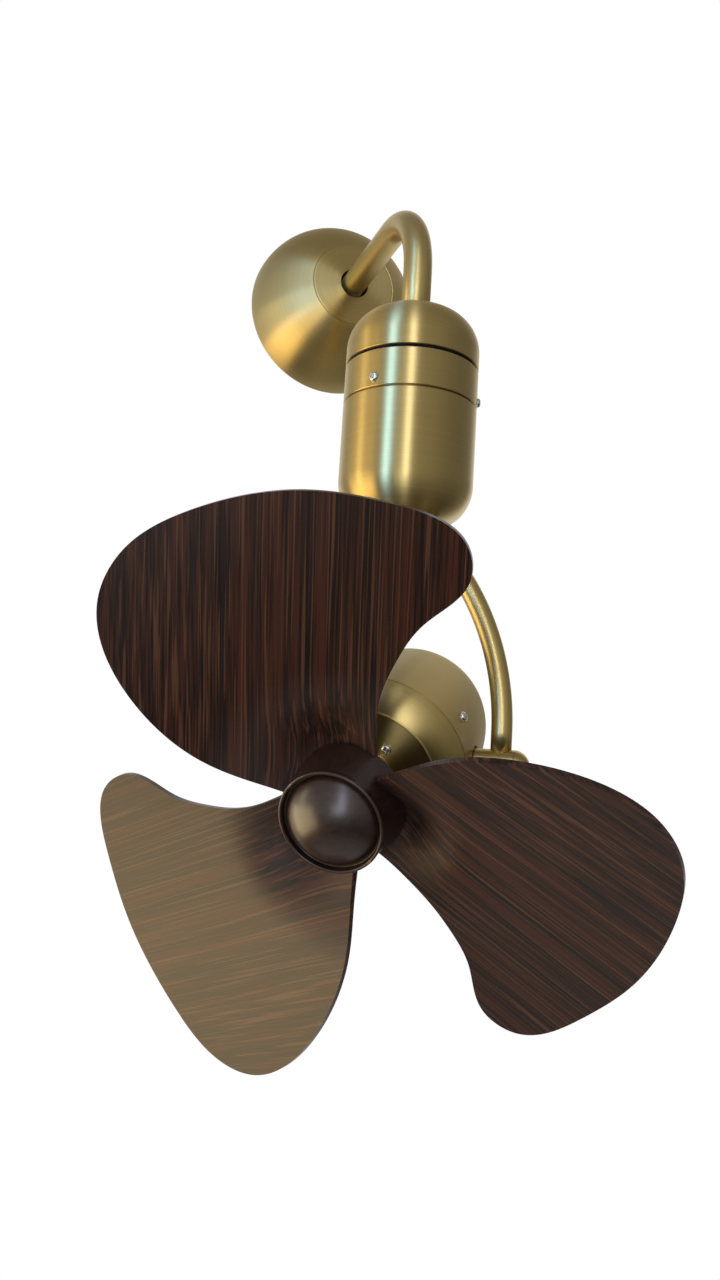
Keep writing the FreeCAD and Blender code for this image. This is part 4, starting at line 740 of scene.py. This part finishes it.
def along(path, count):
    """Points at even distances along a path."""
    reach = [0.0]
    for first, second in zip(path, path[1:]):
        reach.append(reach[-1] + math.dist(first, second))
    points, index = [], 0
    for step in range(count + 1):
        want = reach[-1] * step / count
        while index < len(path) - 2 and reach[index + 1] < want:
            index += 1
        share = (want - reach[index]) / max(reach[index + 1] - reach[index], 1e-9)
        points.append(tuple(a + (b - a) * share for a, b in zip(path[index], path[index + 1])))
    return points


def blade_height(out, up):
    """The middle face: pitched, bowed and twisted, and settled on the hub's back at the root."""
    share = up / BLADE_CREST
    twist = BLADE_WASH * (out - TWIST_STATION) / BLADE_TIP
    free = BLADE_LEVEL + BLADE_PITCH * up + BLADE_BOW * share * share + twist * share
    away = math.dist((out, up), SEAT) / SEAT_SPREAD
    return free + (HUB_BACK - BLADE_THICKNESS / 2 - free) * math.exp(-away * away / 2)


def from_root(path):
    """The part of a path outside the round of the root."""
    return [point for point in path if math.hypot(*point) >= BLADE_ROOT]


def about(angle):
    """Turn round the local Z, in degrees."""
    return Matrix.Rotation(math.radians(angle), 4, "Z")


def walnut(name):
    """Dark walnut film with straight grain along the blade, duller near the hub."""
    finish = Finish(name)
    bend = finish.place.noise(7.0, 1.0) * 0.002
    wavy = finish.place.plus(finish.place.node("ShaderNodeCombineXYZ", {}, {1: bend}))
    fibre = wavy.times((9.0, 900.0, 260.0))
    pores = fibre.noise(1.0, 2.0, 0.6)
    bands = fibre.noise(0.12, 3.0, 0.55)
    lines = fibre.noise(0.75, 1.0, 0.4)
    wood = (0.6 * pores + 0.4 * bands).between(0.38, 0.62).blend(colour(16, 4, 1), colour(60, 28, 14))
    wood = (bands.between(0.5, 0.7) * 0.4).blend(wood, colour(68, 30, 18))
    wood = (lines.between(0.56, 0.68) * 0.6).blend(wood, colour(92, 60, 40))
    outwards = finish.place.times((1.0, 1.0, 0.0)).length()
    dull_root = 1.0 - outwards.between(0.055, 0.095)
    finish.feed(Base_Color=wood, Roughness=0.26 + 0.12 * pores + 0.3 * dull_root)
    finish.relief(pores, depth=0.00004)
    return finish


BLADE_RIBS = 120
RIB_STEPS = 30
EDGE_STEPS = 24
ROOT_FADE = 8
stretches = smooth_loop(TRAILING + LEADING, EDGE_STEPS)
tip = len(TRAILING) - 1
trailing_edge = along(from_root(sum(stretches[:tip], []) + [TRAILING[-1]]), BLADE_RIBS)
leading_edge = along(from_root(sum(stretches[tip:], []))[::-1], BLADE_RIBS)
corners, faces = [], []
for rib, (trail, lead) in enumerate(zip(trailing_edge[:-1], leading_edge[:-1])):
    rounding = (1 - rib / BLADE_RIBS) ** ROOT_FADE
    for step in range(RIB_STEPS + 1):
        share = step / RIB_STEPS
        out, up = (a + (b - a) * share for a, b in zip(trail, lead))
        reach = math.hypot(*trail) * (1 - share) + math.hypot(*lead) * share
        stretch = 1 + rounding * (reach / math.hypot(out, up) - 1)
        corners.append((out * stretch, up * stretch, blade_height(out * stretch, up * stretch)))
width = RIB_STEPS + 1
for rib in range(BLADE_RIBS - 1):
    for step in range(RIB_STEPS):
        low = rib * width + step
        faces.append([low, low + width, low + width + 1, low + 1])
blades = []
for number, third in enumerate(THIRDS, 1):
    film = walnut(f"blade_walnut_{number}")
    blade = add_piece(f"paddle_{number}", corners, faces, HEAD @ about(BLADE_FIRST + third), film,
                      "rotor", f"blade_{number}")
    board = blade.modifiers.new("board", "SOLIDIFY")
    board.thickness = BLADE_THICKNESS * MM
    board.offset = 0.0
    soften(blade, width=1.3, angle=50.0)
    blades.append(blade)

# Screws: nickel-plated pan heads with a cross recess, turned in from outside.
# They sit in the band, the canopy, the motor's covers and plate, and the back of the hub.
HEAD_RADIUS = 3.4
HEAD_HEIGHT = 2.4
CROSS_REACH = 1.9
CROSS_HALF = 0.42
CROSS_DEPTH = 1.3
CROSS_SLOPE = 4


def nickel():
    """Bright nickel plate, a little rubbed."""
    finish = Finish("nickel", Metallic=1.0)
    rub = finish.place.noise(1800.0, 2.0)
    tone = rub.blend(colour(186, 184, 176), colour(226, 224, 216))
    finish.feed(Base_Color=tone, Roughness=0.2 + 0.16 * rub)
    return finish


screw_nickel = nickel()


def pan_screws(name, places, body, stands_for, rings=22, sides=64):
    """Screw heads with their seats at the places' origins and their tops along local Z."""
    corners, faces = [], []
    for place in places:
        start = len(corners)
        turn = place.to_3x3()
        for ring in range(rings + 1):
            spread = HEAD_RADIUS * math.sin(min(ring / (rings - 2), 1.0) * math.pi / 2)
            crown = HEAD_HEIGHT * (1 - (spread / HEAD_RADIUS) ** 4) ** 0.5 if ring < rings - 1 else 0.0
            for step in range(sides):
                angle = 2 * math.pi * step / sides
                x, y = spread * math.cos(angle), spread * math.sin(angle)
                near = min(max(abs(x) / CROSS_REACH, abs(y) / CROSS_HALF),
                           max(abs(y) / CROSS_REACH, abs(x) / CROSS_HALF))
                sunk = CROSS_DEPTH * min((1.0 - near) * CROSS_SLOPE, 1.0) if near < 1.0 else 0.0
                corners.append(tuple(place.translation / MM + turn @ Vector((x, y, crown - sunk))))
        for ring in range(rings):
            low, high = start + ring * sides, start + (ring + 1) * sides
            for step in range(sides):
                follow = (step + 1) % sides
                faces.append([low + step, high + step, high + follow, low + follow])
    add_piece(name, corners, faces, Matrix.Identity(4), screw_nickel, body, stands_for)


def at(x, y, z):
    """Shift in millimetres."""
    return Matrix.Translation((x * MM, y * MM, z * MM))


OUTWARDS = Matrix.Rotation(math.radians(90), 4, "Y")


def wall_spots(axis, first, height, radius, cross_turn):
    """Three places on a round wall, facing outwards, the first at an angle in degrees."""
    return [axis @ about(first + third) @ at(0, 0, height) @ OUTWARDS @ at(0, 0, radius) @ about(cross_turn)
            for third in THIRDS]


BAND_SCREW_RISE = 6.8
band_spots = wall_spots(BARREL, first=-103, height=BAND_BOTTOM + BAND_SCREW_RISE, radius=BARREL_RADIUS,
                        cross_turn=28)
pan_screws("band_screw_heads", band_spots, "swivel", "ring_screws")
CANOPY_INSET = 8
canopy_seat = math.sqrt(CANOPY_RADIUS ** 2 - (CANOPY_INSET - HEAD_RADIUS) ** 2)
pan_screws("canopy_screw_head", [WALL @ at(canopy_seat, 0, CANOPY_INSET) @ OUTWARDS], "mount", "canopy_screw")
COVER_INSET = 22.0
cover_seat = MOUTH_RADIUS - bow + math.sqrt(bow ** 2 - (COVER_INSET - HEAD_RADIUS) ** 2)
cover_spots = wall_spots(HEAD, first=26.4, height=MOUTH - COVER_INSET, radius=cover_seat, cross_turn=20)
pan_screws("cover_screw_heads", cover_spots, "head", "cover_screws")
PLATE_SCREW_CIRCLE = 23
PLATE_SCREW_FIRST = 53
PLATE_CROSS_TURN = 15
plate_spots = [HEAD @ about(PLATE_SCREW_FIRST + third) @ at(PLATE_SCREW_CIRCLE, 0, PLATE)
               @ about(PLATE_CROSS_TURN) for third in THIRDS]
pan_screws("plate_screw_heads", plate_spots, "head", "front_plate_screws")
OVER = Matrix.Rotation(math.pi, 4, "X")
BLADE_SCREW_CIRCLE = 32.0
BLADE_SCREW_ANGLES = (7, 24)
BLADE_SCREW_SUNK = 1
root_spots = []
for spot in BLADE_SCREW_ANGLES:
    out, up = (BLADE_SCREW_CIRCLE * way(math.radians(spot)) for way in (math.cos, math.sin))
    root_spots.append(at(out, up, blade_height(out, up) - BLADE_THICKNESS / 2 + BLADE_SCREW_SUNK) @ OVER)
blade_spots = [HEAD @ about(BLADE_FIRST + third) @ spot for third in THIRDS for spot in root_spots]
pan_screws("blade_screw_heads", blade_spots, "rotor", "blade_screws")

# Floor: a pale round of matt studio paper under the fan, which fades into the white surround.
FLOOR_LEVEL = -2.1
FLOOR_RADIUS = 2.4
bpy.ops.mesh.primitive_circle_add(vertices=96, radius=FLOOR_RADIUS, fill_type="NGON",
                                  location=(0, -0.25, FLOOR_LEVEL))
floor = bpy.context.active_object
floor.name = "studio_floor"
floor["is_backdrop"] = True
paper = Finish("floor_paper", Base_Color=(0.66, 0.655, 0.64, 1.0), Roughness=0.9, Specular_IOR_Level=0.1)
paper.feed(Alpha=1.0 - paper.place.length().between(0.6, 1.8))
floor.data.materials.append(paper.material)

# Camera: eye level with the motor head, a little left of the fan, looking slightly up.
CAMERA_PITCH = 0.12725451
CAMERA_YAW = 0.33865463
CAMERA_ROLL = 0.06250882
CAMERA_PLACE = (-0.25143, -0.85642, -0.42252)
IMAGE_LONG_SIDE = 1280
FOCAL_PIXELS = 987.77
forward = Vector((math.sin(CAMERA_YAW) * math.cos(CAMERA_PITCH),
                  math.cos(CAMERA_YAW) * math.cos(CAMERA_PITCH), math.sin(CAMERA_PITCH)))
level_right = Vector((math.cos(CAMERA_YAW), -math.sin(CAMERA_YAW), 0))
level_up = level_right.cross(forward)
rolled_right = level_right * math.cos(CAMERA_ROLL) + level_up * math.sin(CAMERA_ROLL)
rolled_up = level_up * math.cos(CAMERA_ROLL) - level_right * math.sin(CAMERA_ROLL)
camera = bpy.data.cameras.new("camera")
camera.sensor_width = 36.0
camera.lens = FOCAL_PIXELS * camera.sensor_width / IMAGE_LONG_SIDE
eye = bpy.data.objects.new("camera", camera)
bpy.context.scene.collection.objects.link(eye)
eye.matrix_world = (Matrix.Translation(CAMERA_PLACE)
                    @ Matrix((rolled_right, rolled_up, -forward)).transposed().to_4x4())
bpy.context.scene.camera = eye
bpy.context.scene.view_settings.view_transform = "Standard"

# Light: the eye sees white all round, and the brass mirrors a white screen behind the fan and a dimmer room.
# A warm window low on the left, a glow above it and a fill in front light the fan. Pale and cool strips draw
# the lines on the brass; the blades, the hub and the floor stay out of the cool ones.
WHITE = (1.0, 1.0, 1.0, 1.0)
LIT_SIDE = (0.6, 0.59, 0.57, 1.0)
DIM_SIDE = (0.26, 0.26, 0.27, 1.0)
GROUND = (0.05, 0.045, 0.04, 1.0)
CEILING = (0.32, 0.31, 0.3, 1.0)
TO_LIT_SIDE = (-0.9, -0.4, 0.15)
world = bpy.data.worlds.new("studio")
bpy.context.scene.world = world
world.use_nodes = True
sky = world.node_tree.nodes["Background"]
ray = Shade(world.node_tree, world.node_tree.nodes.new("ShaderNodeTexCoord").outputs["Generated"])


def share_along(way):
    """How far a ray runs along a way: 1 with it, 0 across it."""
    return ray.node("ShaderNodeVectorMath", {"operation": "DOT_PRODUCT"}, {0: ray, 1: way}, "Value")


room = share_along(TO_LIT_SIDE).between(-0.7, 0.6).blend(DIM_SIDE, LIT_SIDE)
room = ray.part(2).between(-0.75, -0.05).blend(GROUND, room)
room = ray.part(2).between(0.3, 0.9).blend(room, CEILING)
aside = ray.node("ShaderNodeMath", {"operation": "ABSOLUTE"}, {0: share_along(level_right)})
screen = share_along(forward).between(0.5, 0.75) * (1.0 - aside.between(0.5, 0.75))
mirrored = screen.blend(room, WHITE)
seen = ray.node("ShaderNodeLightPath", {}, {}, "Is Camera Ray")
world.node_tree.links.new(seen.blend(mirrored, WHITE).socket, sky.inputs["Color"])
MIDDLE = Vector((-0.05, -0.25, -0.36))


def lamp(name, azimuth, elevation, distance, size, tint, radiance):
    """Flat lamp that faces the fan; azimuth 0 is in front of the wall, positive to the right."""
    turn, lift = math.radians(azimuth), math.radians(elevation)
    way = Vector((math.sin(turn) * math.cos(lift), -math.cos(turn) * math.cos(lift), math.sin(lift)))
    width, height = size
    light = bpy.data.lights.new(name, "AREA")
    light.shape = "RECTANGLE"
    light.size = width
    light.size_y = height
    light.color = tint
    light.energy = radiance * math.pi * width * height
    holder = bpy.data.objects.new(name, light)
    bpy.context.scene.collection.objects.link(holder)
    holder.location = MIDDLE + way * distance
    holder.rotation_euler = way.to_track_quat("Z", "Y").to_euler()
    return holder


WARM = (1.0, 0.77, 0.42)
GLOW = (1.0, 0.86, 0.55)
DAYLIGHT = (0.9, 0.95, 1.0)
PALE = (0.8, 0.85, 1.0)
COOL = (0.19, 0.42, 1.0)
lamp("warm_window", -108, -24, distance=1.3, size=(1.38, 0.85), tint=WARM, radiance=3.7)
lamp("warm_glow", -107, 8, distance=1.3, size=(0.28, 0.6), tint=GLOW, radiance=2.8)
lamp("front_fill", -32, -8, distance=1.5, size=(0.4, 0.5), tint=DAYLIGHT, radiance=2.5)
lamp("pale_strip_low", -21, 6, distance=1.5, size=(0.22, 1.0), tint=PALE, radiance=7.0)
lamp("pale_strip_high", -21, 41, distance=1.5, size=(0.22, 0.95), tint=PALE, radiance=3.5)
cool_low = lamp("cool_strip_low", -56, 6, distance=1.5, size=(0.28, 1.0), tint=COOL, radiance=14.0)
cool_high = lamp("cool_strip_high", -56, 41, distance=1.5, size=(0.28, 1.0), tint=COOL, radiance=7.0)
kept_warm = bpy.data.collections.new("kept_warm")
for piece in blades + [hub, spinner, floor]:
    kept_warm.objects.link(piece)
for entry in kept_warm.collection_objects:
    entry.light_linking.link_state = "EXCLUDE"
for strip in (cool_low, cool_high):
    strip.light_linking.receiver_collection = kept_warm

low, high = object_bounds()
